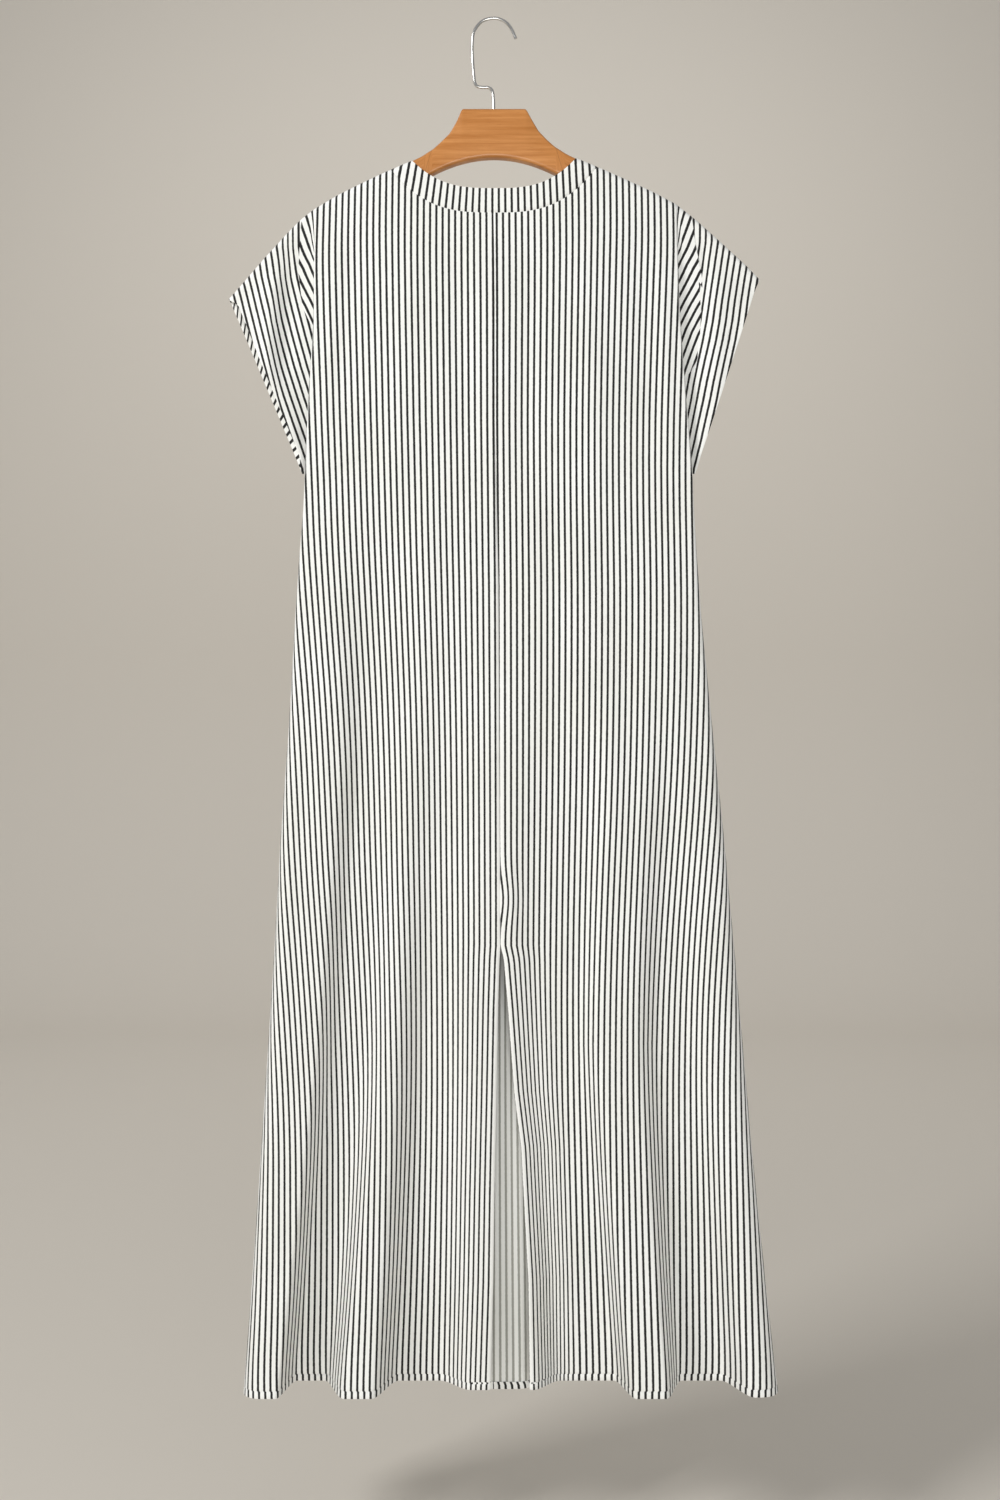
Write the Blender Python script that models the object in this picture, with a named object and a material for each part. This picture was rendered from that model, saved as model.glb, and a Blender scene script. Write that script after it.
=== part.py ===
"""A short-sleeved maxi dress hanging by its shoulders on a flat wooden hanger with a wire hook.

Metres, +Z up. The origin is the inside top of the hook, where a rail carries it. The dress's
back faces -Y. The cloth is a hollow wall. Each panel is a grid: its rows are sections through
the garment at one height, drawn in plan from a few sizes and a table of folds, and its columns
run down the cloth. A section goes from the middle of the panel to its side: across the folds,
round the edge of the garment, and then back inwards, where the side is tucked between back and
front. At the armhole the cloth turns once more and goes on outwards as the sleeve.
"""

import math

import bmesh
import bpy
import numpy as np

# ---------------------------------------------------------------- driving dimensions
WALL = 0.0012                   # cloth with its turned edges
BAND_WALL = 0.0018              # the neck band is folded double
SEAM_GAP = 0.0003               # between two pieces that are sewn together
BAND_GAP = 0.0008               # neckline of the panels to the lower edge of the band

BACK, FRONT = -1, 1             # the side of the hanger's mid-plane, along Y
LEFT, RIGHT = -1, 1             # along X, as seen from behind the dress

UNDERARM_Z = -0.489
BACK_HEM_Z = -1.461
FRONT_HEM_Z = -1.470
SLIT_TOP_Z = -0.994
SHOULDER_ROUND = 0.008          # height over which the cloth turns over the hanger's arm
SHOULDER_POWER = 2.2            # 2 is an ellipse, more is squarer

NECK_HALF_WIDTH = 0.1115        # at the seam of the band, on the shoulder
NECK_EDGE_HALF_WIDTH = 0.0895   # at the free edge of the band, on the shoulder
BACK_NECK_SEAM_Z = -0.2106
BACK_NECK_EDGE_Z = -0.1848
FRONT_NECK_SEAM_Z = -0.2750
FRONT_NECK_EDGE_Z = -0.2490
BACK_NECK_POWER = 3.0           # 2 is a bowl, more is flatter with tighter corners
FRONT_NECK_POWER = 2.5

HANGER_THICKNESS = 0.014
HANGER_SEAT = 0.0013            # top of the wood to the middle of the cloth on it
HANGER_TIP_X = 0.188
HANGER_ARM_DEPTH = 0.026        # at the end of the arch
HANGER_TIP_DEPTH = 0.017
HANGER_EDGE_ROUND = 0.005
BLOCK_HALF_WIDTH = 0.0345
BLOCK_TOP_Z = -0.0978
ARCH_TOP_Z = -0.1500
ARCH_HALF_WIDTH = 0.0700
ARCH_RISE = 0.0195               # from the ends of the arch to its top

WIRE_RADIUS = 0.0016
HOOK_STEM_FOOT_Z = BLOCK_TOP_Z + SEAM_GAP

SLEEVE_OPEN = 0.013             # half the depth of the sleeve's opening
SLEEVE_HEM_FOOT_Z = -0.4865
SLEEVE_PAST_UNDERARM = 0.0045   # how far the hem's lower corner shows past the body's edge
HIDDEN_SEAM = 0.0020            # from the inner crease to an armhole seam hidden under it
SLEEVE_UNDER = 0.0018           # how far the sleeve then lies below the seam
UNROLL_FROM = 0.78              # share of the armhole where the inner crease starts to open out

# The front hangs back past the mid-plane behind the slit.
SLIT_MIDDLE_X = 0.012
FRONT_HOLLOW_DEPTH = 0.024
FRONT_HOLLOW_HALF_WIDTH = 0.040
FRONT_HOLLOW_TOP_Z = -0.874
FRONT_HOLLOW_FADE = 0.300       # height over which it reaches its depth


# The line over the shoulders: distance from the middle, height on the left and on the right.
# Up to NECK_EDGE_HALF_WIDTH it is bare wood, then cloth on the wood, then the sleeve's top.
SHOULDER = (
    (0.0345, -0.0965, -0.0965),
    (0.0400, -0.1098, -0.1069),
    (0.0475, -0.1226, -0.1197),
    (0.0560, -0.1311, -0.1288),
    (0.0650, -0.1393, -0.1368),
    (0.0775, -0.1474, -0.1448),
    (0.0905, -0.1539, -0.1511),
    (0.1165, -0.1650, -0.1620),
    (0.1420, -0.1770, -0.1733),
    (0.1680, -0.1900, -0.1852),
    (0.1940, -0.2056, -0.1988),
    (0.2070, -0.2157, -0.2086),
    (0.2200, -0.2286, -0.2194),
    (0.2455, -0.2564, -0.2424),
    (0.2715, -0.2864, -0.2663),
    (0.2850, -0.3018, -0.2803),
)

# Sections of the body: height, reach of the edge on the left and on the right, radius of the
# round edge, angle that it turns through (90 ends it at the side, more tucks it in), and how
# far the flat of the cloth lies from the mid-plane, before its folds.
SECTIONS = (
    (-0.090, 0.1910, 0.1940, 0.0015, 40, 0.0095),
    (-0.215, 0.1920, 0.1948, 0.0015, 40, 0.0095),
    (-0.330, 0.1930, 0.1990, 0.0015, 150, 0.0120),
    (-0.420, 0.1990, 0.2060, 0.0015, 165, 0.0135),
    (-0.489, 0.2020, 0.2120, 0.0015, 158, 0.0140),
    (-0.530, 0.2040, 0.2138, 0.0030, 140, 0.0148),
    (-0.580, 0.2080, 0.2170, 0.0050, 115, 0.0155),
    (-0.640, 0.2122, 0.2215, 0.0075, 97, 0.0160),
    (-0.760, 0.2188, 0.2337, 0.0100, 90, 0.0165),
    (-0.880, 0.2275, 0.2460, 0.0120, 90, 0.0165),
    (-1.010, 0.2345, 0.2577, 0.0140, 90, 0.0160),
    (-1.220, 0.2480, 0.2757, 0.0170, 90, 0.0140),
    (-1.461, 0.2630, 0.2990, 0.0200, 90, 0.0120),
)

# The crease at the armhole, where the sleeve comes out from under the panel: share of the way
# from the shoulder to the underarm, angle that the cloth turns through, how far it runs back
# under the panel, and the seam's place past the crease on the left and on the right.
ARMHOLE = (
    (0.00, 30, 0.0000, 0.0140, 0.0170),
    (0.10, 70, 0.0000, 0.0160, 0.0200),
    (0.20, 115, 0.0010, 0.0178, 0.0260),
    (0.35, 150, 0.0050, 0.0130, 0.0285),
    (0.45, 158, 0.0085, 0.0020, 0.0260),
    (0.55, 162, 0.0120, -0.0080, 0.0170),
    (0.68, 165, 0.0165, -0.0300, -0.0040),
    (0.80, 168, 0.0210, -0.0300, -0.0300),
    (0.92, 168, 0.0250, -0.0300, -0.0300),
    (1.00, 158, 0.0278, -0.0300, -0.0300),
)

# Inner edges of the two back panels: height, left panel's edge, right panel's edge. They meet
# in the centre back seam, which stops at the top of the slit.
CENTRE_BACK = (
    (-0.200, -0.0008, -0.0008),
    (-0.310, 0.0010, 0.0010),
    (-0.434, 0.0012, 0.0012),
    (-0.610, 0.0048, 0.0048),
    (-0.957, 0.0067, 0.0067),
    (-0.994, 0.0066, 0.0068),
    (-1.010, 0.0056, 0.0106),
    (-1.060, 0.0040, 0.0148),
    (-1.150, 0.0023, 0.0215),
    (-1.210, 0.0010, 0.0290),
    (-1.263, 0.0000, 0.0318),
    (-1.350, -0.0010, 0.0365),
    (-1.461, -0.0042, 0.0380),
)

# Folds that stand out from the flat of the cloth: where each starts, how far it stands out at
# the hem, its left and right edges high up, half-way down and at the hem, and the widths of its
# left and right flanks at the hem. An edge beyond the garment leaves that side open, as a pipe
# round the garment's own edge.
BEYOND = 0.60
FOLD_HIGH_Z = -0.800
FOLD_MIDDLE_Z = -1.100
BACK_FOLDS = (
    (-0.520, 0.050, -BEYOND, -0.153, -BEYOND, -0.178, -BEYOND, -0.2193, 0.10, 0.016),
    (-0.740, 0.050, -0.106, -0.074, -0.125, -0.089, -0.1686, -0.1149, 0.026, 0.026),
    (-0.620, 0.026, -0.030, 0.036, -0.035, 0.031, -0.0410, 0.0560, 0.034, 0.030),
    (-0.700, 0.050, 0.110, 0.172, 0.100, 0.163, 0.1385, 0.1900, 0.020, 0.022),
    (-0.740, 0.046, 0.208, BEYOND, 0.220, BEYOND, 0.2570, BEYOND, 0.030, 0.10),
)
FRONT_FOLDS = (
    (-0.560, 0.040, -BEYOND, -0.165, -BEYOND, -0.185, -BEYOND, -0.2230, 0.10, 0.022),
    (-0.700, 0.048, -0.128, -0.092, -0.145, -0.100, -0.1620, -0.1080, 0.024, 0.028),
    (-0.780, 0.034, -0.062, -0.034, -0.068, -0.034, -0.0760, -0.0330, 0.026, 0.024),
    (-0.640, 0.044, 0.050, 0.088, 0.056, 0.098, 0.0620, 0.1120, 0.028, 0.024),
    (-0.740, 0.048, 0.140, 0.176, 0.150, 0.192, 0.1640, 0.2130, 0.024, 0.026),
    (-0.800, 0.036, 0.212, BEYOND, 0.228, BEYOND, 0.2550, BEYOND, 0.026, 0.10),
)
EARLY_GROWTH = 0.6              # share of a fold's depth that comes evenly, the rest by the hem
LATE_POWER = 7                  # of the way down, for that rest
FLANK_EXTRA = 0.014             # how much wider a flank is where its fold starts

# Rows of every panel. The first list is a share of the way from the top line to the underarm,
# closer together where the cloth turns over the hanger. The second is heights below it.
ARMHOLE_ROWS = (
    0, 0.0015, 0.005, 0.012, 0.03, 0.07, 0.14, 0.24, 0.36, 0.50, 0.65, 0.78, 0.84, 0.90, 0.95, 1,
)
BODY_ROWS = (-0.53, -0.58, -0.64, -0.72, -0.81, -0.90, -0.994, -1.06, -1.15, -1.25, -1.355)

CORNER_REACH = 0.006            # past the neck's corner, where by_neck_corner still holds
NECK_COLUMNS = 6                # from the middle towards the neck's corner
SHOULDER_COLUMNS = 10           # from there to the round edge
NECK_CORNER_COLUMNS = (0.0070, 0.0024, 0.0007)      # distances before the neck's corner
EDGE_STEPS = (3, 2, 3, 1)       # round the edge, back under it, round again, out to the seam
SIDE_PARTS = (0, 0.60, 0.95, 1) # the same stretches where there is no armhole
SLEEVE_COLUMNS = 8
BAND_COLUMNS = 24               # across the back, and again across the front
BAND_DEPTH_WEIGHT = 10          # closer columns where the band turns over the hanger

HOOK_ROUTE = (
    (-0.0002, HOOK_STEM_FOOT_Z),
    (-0.0006, -0.0860),
    (-0.0020, -0.0765),
    (-0.0062, -0.0732),
    (-0.0125, -0.0730),
    (-0.0180, -0.0718),
    (-0.0208, -0.0670),
    (-0.0222, -0.0545),
    (-0.0232, -0.0400),
    (-0.0234, -0.0260),
    (-0.0213, -0.0122),
    (-0.0128, -0.0018),
    (0.0000, WIRE_RADIUS),
    (0.0112, -0.0018),
    (0.0185, -0.0095),
    (0.0235, -0.0205),
)


# ---------------------------------------------------------------- small tools
def mix(a, b, share):
    return a + (b - a) * share


def ease(share):
    share = np.clip(share, 0, 1)
    return share * share * (3 - 2 * share)


def column(table, key, number):
    """Column `number` of a table, read between its rows at `key` in its first column."""
    rows = sorted(table)
    keys = [row[0] for row in rows]
    return np.interp(key, keys, [row[number] for row in rows])


def side_column(side, left_number):
    return left_number if side == LEFT else left_number + 1


def resample(path, shares):
    """Points along a polyline, at shares of its length."""
    run = np.concatenate([[0], np.cumsum(np.linalg.norm(np.diff(path, axis=0), axis=1))])
    places = np.asarray(shares) * run[-1]
    return np.stack([np.interp(places, run, column_) for column_ in path.T], axis=1)


# ---------------------------------------------------------------- the garment's lines
def shoulder_z(x):
    """Height of the line over the shoulders at x."""
    left = column(SHOULDER, np.abs(x), 1)
    right = column(SHOULDER, np.abs(x), 2)
    return mix(left, right, ease(0.5 + np.asarray(x) / (2 * BLOCK_HALF_WIDTH)))


def neck_z(x, half_width, middle_z, power):
    """Height of a neckline whose ends lie on the shoulder line."""
    end_z = shoulder_z(np.sign(x) * half_width)
    share = np.clip(np.abs(x) / half_width, 0, 1)
    return middle_z + (end_z - middle_z) * share**power


def top_z(face, x):
    """Top line of the back or front panel: the neckline, then the shoulder line."""
    middle = BACK_NECK_SEAM_Z if face == BACK else FRONT_NECK_SEAM_Z
    power = BACK_NECK_POWER if face == BACK else FRONT_NECK_POWER
    half_width = NECK_HALF_WIDTH + BAND_GAP
    neckline = neck_z(x, half_width, middle - BAND_GAP, power)
    return np.where(np.abs(x) < half_width, neckline, shoulder_z(x))


def over_hanger(x, z):
    """Share of its depth that the cloth has where it turns over the hanger's arm."""
    below = np.clip((shoulder_z(x) - z) / SHOULDER_ROUND, 0, 1)
    return (1 - (1 - below) ** SHOULDER_POWER) ** (1 / SHOULDER_POWER)


def fold_depth(face, x, z):
    """How far the folds stand out from the flat of the cloth at x and z."""
    total = np.zeros_like(x)
    hem_z = BACK_HEM_Z if face == BACK else FRONT_HEM_Z
    heights = (hem_z, FOLD_MIDDLE_Z, FOLD_HIGH_Z)
    for row in BACK_FOLDS if face == BACK else FRONT_FOLDS:
        start_z, depth, left_0, right_0, left_1, right_1, left_2, right_2, *flanks = row
        share = np.clip((start_z - z) / (start_z - hem_z), 0, 1)
        left = np.interp(z, heights, (left_2, left_1, left_0))
        right = np.interp(z, heights, (right_2, right_1, right_0))
        left_flank, right_flank = (flank + FLANK_EXTRA * (1 - share) for flank in flanks)
        rise = ease(0.5 + (x - left) / left_flank)
        fall = ease(0.5 + (right - x) / right_flank)
        growth = EARLY_GROWTH * share + (1 - EARLY_GROWTH) * share**LATE_POWER
        total += depth * growth * rise * fall
    return total


def middle_depth(face, x, z):
    """The front hangs back behind the slit, so that it shows there."""
    if face == BACK:
        return np.zeros_like(x)
    across = ease(1.35 - np.abs(x - SLIT_MIDDLE_X) / FRONT_HOLLOW_HALF_WIDTH)
    return -FRONT_HOLLOW_DEPTH * across * ease((FRONT_HOLLOW_TOP_Z - z) / FRONT_HOLLOW_FADE)


# ---------------------------------------------------------------- sections
def turn(start, heading, angle, radius):
    """An arc in plan that turns right by this angle, or left if it is negative, and the
    heading that it ends with."""
    ways = heading - angle * np.linspace(0, 1, 13)
    radius = math.copysign(radius, angle)
    centre = start + radius * np.array([math.sin(heading), -math.cos(heading)])
    return centre - radius * np.stack([np.sin(ways), -np.cos(ways)], axis=1), heading - angle


def section(face, side, share, z):
    """The half section of one face, as (distance from the middle, depth) points.

    It returns the main stretch up to the round edge, four stretches from there to the seam at
    the side or the armhole, and, above the underarm, the sleeve's stretch from there on.
    """
    edge_x = column(SECTIONS, z, side_column(side, 1))
    radius = column(SECTIONS, z, 3)
    flat = column(SECTIONS, z, 5)
    in_armhole = share < 1
    angle = math.radians(column(ARMHOLE, share, 1) if in_armhole else column(SECTIONS, z, 4))
    start_x = edge_x - radius * math.sin(min(angle, math.pi / 2))
    inner_x = 0.0
    if face == BACK:
        inner_x = column(CENTRE_BACK, z, side_column(side, 1)) * side + SEAM_GAP / 2
    across = np.linspace(inner_x, start_x, 200)
    depth = flat + fold_depth(face, across * side, z) + middle_depth(face, across * side, z)
    main = np.stack([across, depth], axis=1)

    round_edge, heading = turn(main[-1], 0.0, angle, radius)
    end = round_edge[-1]
    way = np.array([math.cos(heading), math.sin(heading)])
    if not in_armhole:
        seam_depth = SEAM_GAP / 2 + WALL / 2 * abs(math.cos(angle))
        run = (end[1] - seam_depth) / math.sin(angle)
        stops = [end + run * part * way for part in SIDE_PARTS]
        return main, [round_edge, *(np.array(pair) for pair in zip(stops, stops[1:]))], None
    inner = end + max(column(ARMHOLE, share, 2), SEAM_GAP) * way
    unrolled = float(ease((share - UNROLL_FROM) / (1 - UNROLL_FROM)))
    turn_back, heading = turn(inner, heading, -angle * (1 - unrolled), radius)
    end = turn_back[-1]
    seam_x = max(edge_x + column(ARMHOLE, share, side_column(side, 3)), end[0] + HIDDEN_SEAM)
    seam = np.array([seam_x - SEAM_GAP / 2, end[1]])
    start_x, start_depth = seam_x + SEAM_GAP / 2, seam[1]
    if unrolled > 0:
        seam = end + HIDDEN_SEAM * np.array([math.cos(heading), math.sin(heading)])
        start_x = seam[0] + SEAM_GAP + WALL * abs(math.sin(heading))
        start_depth = max(seam[1] - SLEEVE_UNDER * unrolled, WALL)
    sleeve = np.array([[start_x, start_depth], [sleeve_reach(side, share), start_depth]])
    way_back = [round_edge, np.array([round_edge[-1], inner]), turn_back]
    return main, [*way_back, np.array([end, seam])], sleeve


def row_z(face, x, share):
    """Height of an armhole row at x."""
    return mix(top_z(face, x), UNDERARM_Z, share)


def sleeve_reach(side, share):
    """Where the sleeve's straight hem crosses an armhole row, as a distance from the middle."""
    tip_x, tip_left_z, tip_right_z = SHOULDER[-1]
    tip_z = tip_left_z if side == LEFT else tip_right_z
    foot_x = column(SECTIONS, UNDERARM_Z, side_column(side, 1)) + SLEEVE_PAST_UNDERARM
    across = np.linspace(foot_x, tip_x, 400)
    hem_z = mix(SLEEVE_HEM_FOOT_Z, tip_z, (across - foot_x) / (tip_x - foot_x))
    height = mix(shoulder_z(side * across), SLEEVE_HEM_FOOT_Z, share)
    return float(np.interp(0, hem_z - height, across))


# ---------------------------------------------------------------- grids of points
def half_panel(face, side):
    """Grid of one half of a panel. Its columns go outwards from the middle."""
    crease_x = column(SECTIONS, UNDERARM_Z, side_column(side, 1))
    top_main = section(face, side, 0, float(row_z(face, side * crease_x, 0)))[0]
    first_x, last_x = top_main[0, 0], top_main[-1, 0]
    corner_x = NECK_HALF_WIDTH + BAND_GAP
    by_corner = corner_x - np.array(NECK_CORNER_COLUMNS)
    shares = np.concatenate([
        np.linspace(first_x, by_corner[0], NECK_COLUMNS, endpoint=False),
        by_corner,
        np.linspace(corner_x, last_x, SHOULDER_COLUMNS, endpoint=False),
    ])
    shares = (shares - first_x) / (last_x - first_x)
    hem_z = BACK_HEM_Z if face == BACK else FRONT_HEM_Z
    rows = []
    for share in ARMHOLE_ROWS:
        row_height = float(row_z(face, side * crease_x, share))
        main, edge, _ = section(face, side, share, row_height)
        plan = columns_of(main, shares, edge)
        x = side * plan[:, 0]
        z = row_z(face, x, share)
        rows.append(np.stack([x, seam_clear(face, plan[:, 1] * over_hanger(x, z)), z], axis=1))
    for height in (*BODY_ROWS, hem_z):
        main, edge, _ = section(face, side, 1, height)
        plan = columns_of(main, shares, edge)
        x = side * plan[:, 0]
        rows.append(np.stack([x, face * plan[:, 1], np.full(len(x), height)], axis=1))
    return np.array(rows)


def columns_of(main, shares, edge):
    """Plan points of one row: the same number on each stretch of every section."""
    points = [resample(main, shares)]
    for stretch, steps in zip(edge, EDGE_STEPS):
        points.append(resample(stretch, np.arange(steps) / steps))
    return np.vstack([*points, edge[-1][-1:]])


def seam_clear(face, depth):
    """Y of the cloth, kept off the mid-plane by half the shoulder seam's gap."""
    near = np.where((depth >= 0) & (depth < SEAM_GAP / 2), SEAM_GAP / 2, depth)
    return face * near


def sleeve_side(face, side):
    """Grid of the back or front half of a sleeve, from the shoulder down to the underarm."""
    crease_x = column(SECTIONS, UNDERARM_Z, side_column(side, 1))
    shares = np.linspace(0, 1, SLEEVE_COLUMNS)
    rows = []
    for share in ARMHOLE_ROWS:
        height = float(row_z(face, side * crease_x, share))
        if share == 1:
            seam_x = section(face, side, 1, height)[1][-1][-1, 0] + SEAM_GAP + WALL / 2
            plan = np.stack([mix(seam_x, sleeve_reach(side, 1), shares), 0 * shares], axis=1)
        else:
            plan = resample(section(face, side, share, height)[2], shares)
            edge_x = column(SECTIONS, height, side_column(side, 1))
            shown = plan[-1, 0] - edge_x
            opening = min(SLEEVE_OPEN * math.sqrt(math.sin(math.pi * share)), shown / 2)
            out = ease((plan[:, 0] - edge_x) / shown)
            plan[:, 1] = np.maximum(plan[:, 1], mix(plan[:, 1], opening, out))
        x = side * plan[:, 0]
        z = row_z(face, x, share)
        rows.append(np.stack([x, face * plan[:, 1] * over_hanger(x, z), z], axis=1))
    return np.array(rows)


def neck_band_grid():
    """Ring of the band, in rows from its seam to its free edge."""
    halves = []
    for face, seam_z, edge_z, power in (
        (BACK, BACK_NECK_SEAM_Z, BACK_NECK_EDGE_Z, BACK_NECK_POWER),
        (FRONT, FRONT_NECK_SEAM_Z, FRONT_NECK_EDGE_Z, FRONT_NECK_POWER),
    ):
        lines = []
        for half_width, middle_z in (
            (NECK_HALF_WIDTH, seam_z),
            (NECK_EDGE_HALF_WIDTH, edge_z),
        ):
            x = np.linspace(-half_width, half_width, 400)
            z = neck_z(x, half_width, middle_z, power)
            depth = BAND_DEPTH_WEIGHT * over_hanger(x, z) * column(SECTIONS, z, 5)
            line = np.stack([x, z, depth], axis=1)[::-face]
            lines.append(resample(line, np.arange(BAND_COLUMNS) / BAND_COLUMNS))
        rows = []
        for share in (0, 0.5, 1):
            x, z, _ = mix(*lines, share).T
            depth = column(SECTIONS, z, 5) * over_hanger(x, z)
            rows.append(np.stack([x, face * depth, z], axis=1))
        halves.append(np.array(rows))
    return np.concatenate(halves, axis=1)


# ---------------------------------------------------------------- solids
def normals_of(grid, wraps):
    """Unit normals of a grid of points, whose rows close on themselves if wraps is set."""
    if wraps:
        ring = np.concatenate([grid[:, -1:], grid, grid[:, :1]], axis=1)
        along = ring[:, 2:] - ring[:, :-2]
    else:
        along = np.gradient(grid, axis=1)
    down = np.gradient(grid, axis=0)
    normals = np.cross(along, down)
    return normals / np.linalg.norm(normals, axis=2, keepdims=True)


def by_neck_corner(grid, normals):
    """The normals near the neck's corners, where the cells are too slanted to give them: there
    they come from the curve that the cloth turns over the hanger in."""
    x, y, z = grid[..., 0], grid[..., 1], grid[..., 2]
    below = np.clip((shoulder_z(x) - z) / SHOULDER_ROUND, 0, 1)
    flat = column(SECTIONS, z, 5)
    slope = (shoulder_z(x + 0.001) - shoulder_z(x - 0.001)) / 0.002
    upwards = (1 - below) ** (SHOULDER_POWER - 1) / SHOULDER_ROUND
    outwards = (np.abs(y) / flat) ** (SHOULDER_POWER - 1) / flat
    exact = np.stack([-slope * upwards, np.sign(y) * outwards, upwards], axis=-1)
    exact /= np.linalg.norm(exact, axis=-1, keepdims=True)
    exact *= np.sign((exact * normals).sum(axis=-1, keepdims=True))
    near = (np.abs(x) < NECK_HALF_WIDTH + CORNER_REACH) & (below < 1)
    return np.where(near[..., None], exact, normals)


def halves_of(grid, corners):
    """The two triangles of a grid cell, cut along its shorter diagonal. Both layers of a wall are
    cut the same way, so that they stay its thickness apart where the cell is twisted."""
    a, b, c, d = corners
    if np.linalg.norm(grid[a] - grid[c]) <= np.linalg.norm(grid[b] - grid[d]):
        return (a, b, c), (a, c, d)
    return (a, b, d), (b, c, d)


def wall(name, grid, colour, roughness=0.9, thickness=WALL, wraps=False, flat=()):
    """A closed wall on a grid. `flat` lists (row or None, column or None, axis): there the
    wall's end face is square to that axis, so that it meets its neighbour's along a seam."""
    normals = normals_of(grid, wraps)
    if flat:
        normals = by_neck_corner(grid, normals)
    for row, col, axis in flat:
        where = (slice(None) if row is None else row, slice(None) if col is None else col)
        faces_it = np.abs(normals[where][..., axis:axis + 1]) < 0.8
        square = normals[where] * (np.arange(3) != axis)
        square /= np.maximum(np.linalg.norm(square, axis=-1, keepdims=True), 1e-9)
        normals[where] = np.where(faces_it, square, normals[where])
    count_rows, count_columns = grid.shape[:2]
    mesh_ = bmesh.new()
    layers = []
    for sign in (1, -1):
        points = grid + sign * thickness / 2 * normals
        layers.append([[mesh_.verts.new(point) for point in row] for row in points])
    outer, inner = layers
    last = count_columns if wraps else count_columns - 1
    for i in range(count_rows - 1):
        for j in range(last):
            k = (j + 1) % count_columns
            corners = ((i, j), (i + 1, j), (i + 1, k), (i, k))
            for three in halves_of(grid, corners):
                mesh_.faces.new([outer[row][col] for row, col in three])
                mesh_.faces.new([inner[row][col] for row, col in reversed(three)])
    for j in range(last):
        k = (j + 1) % count_columns
        mesh_.faces.new((outer[0][j], outer[0][k], inner[0][k], inner[0][j]))
        mesh_.faces.new((outer[-1][k], outer[-1][j], inner[-1][j], inner[-1][k]))
    if not wraps:
        for i in range(count_rows - 1):
            mesh_.faces.new((outer[i + 1][0], outer[i][0], inner[i][0], inner[i + 1][0]))
            mesh_.faces.new((outer[i][-1], outer[i + 1][-1], inner[i + 1][-1], inner[i][-1]))
    return finish(name, mesh_, colour, roughness)


def finish(name, mesh_, colour, roughness, metallic=0.0):
    """Makes the named object with its own material, its faces turned outwards."""
    bmesh.ops.recalc_face_normals(mesh_, faces=mesh_.faces)
    if mesh_.calc_volume(signed=True) < 0:
        bmesh.ops.reverse_faces(mesh_, faces=mesh_.faces)
    data = bpy.data.meshes.new(name)
    mesh_.to_mesh(data)
    mesh_.free()
    data.shade_smooth()
    data.set_sharp_from_angle(angle=math.radians(40))
    piece = bpy.data.objects.new(name, data)
    bpy.context.scene.collection.objects.link(piece)
    piece.data.materials.append(material(name, colour, roughness, metallic))
    return piece


def material(name, colour, roughness, metallic):
    made = bpy.data.materials.new(name)
    made.use_nodes = True
    shader = made.node_tree.nodes["Principled BSDF"]
    shader.inputs["Base Color"].default_value = (*colour, 1)
    shader.inputs["Roughness"].default_value = roughness
    shader.inputs["Metallic"].default_value = metallic
    return made


def hanger_section(x):
    """Ring of points round the wood at x: a rectangle with rounded corners."""
    top = float(shoulder_z(x)) - HANGER_SEAT
    if abs(x) < ARCH_HALF_WIDTH:
        bottom = ARCH_TOP_Z - ARCH_RISE * (abs(x) / ARCH_HALF_WIDTH) ** 2
    else:
        share = (abs(x) - ARCH_HALF_WIDTH) / (HANGER_TIP_X - ARCH_HALF_WIDTH)
        bottom = top - mix(HANGER_ARM_DEPTH, HANGER_TIP_DEPTH, share)
    side = HANGER_THICKNESS / 2 - HANGER_EDGE_ROUND
    ring = []
    for y, z, start in (
        (side, top - HANGER_EDGE_ROUND, 0),
        (-side, top - HANGER_EDGE_ROUND, 90),
        (-side, bottom + HANGER_EDGE_ROUND, 180),
        (side, bottom + HANGER_EDGE_ROUND, 270),
    ):
        for step in (0, 45, 90):
            way = math.radians(start + step)
            ring.append((
                x,
                y + HANGER_EDGE_ROUND * math.cos(way),
                z + HANGER_EDGE_ROUND * math.sin(way),
            ))
    return ring


def hanger():
    """The wooden hanger: sections lofted along its length."""
    tops = [row[0] for row in SHOULDER if row[0] < HANGER_TIP_X - 0.01]
    half = [*np.linspace(0, BLOCK_HALF_WIDTH, 4, endpoint=False), *tops, HANGER_TIP_X]
    stations = [-x for x in reversed(half[1:])] + half
    mesh_ = bmesh.new()
    rings = [[mesh_.verts.new(point) for point in hanger_section(x)] for x in stations]
    for ring, following in zip(rings, rings[1:]):
        for j in range(len(ring)):
            k = (j + 1) % len(ring)
            mesh_.faces.new((ring[j], ring[k], following[k], following[j]))
    mesh_.faces.new(rings[0][::-1])
    mesh_.faces.new(rings[-1])
    finish("hanger", mesh_, (0.60, 0.30, 0.12), 0.45)


def hook():
    """The wire hook, bent from one round wire, its stem standing on the hanger's block."""
    route = bpy.data.curves.new("hook", "CURVE")
    route.dimensions = "3D"
    route.bevel_depth = WIRE_RADIUS
    route.bevel_resolution = 2
    route.use_fill_caps = True
    spline = route.splines.new("POLY")
    points = smooth_route(HOOK_ROUTE, 3)
    spline.points.add(len(points) - 1)
    for point, (x, z) in zip(spline.points, points):
        point.co = (x, 0, z, 1)
    piece = bpy.data.objects.new("hook", route)
    bpy.context.scene.collection.objects.link(piece)
    piece.data.materials.append(material("hook", (0.62, 0.61, 0.60), 0.28, 1.0))


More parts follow.
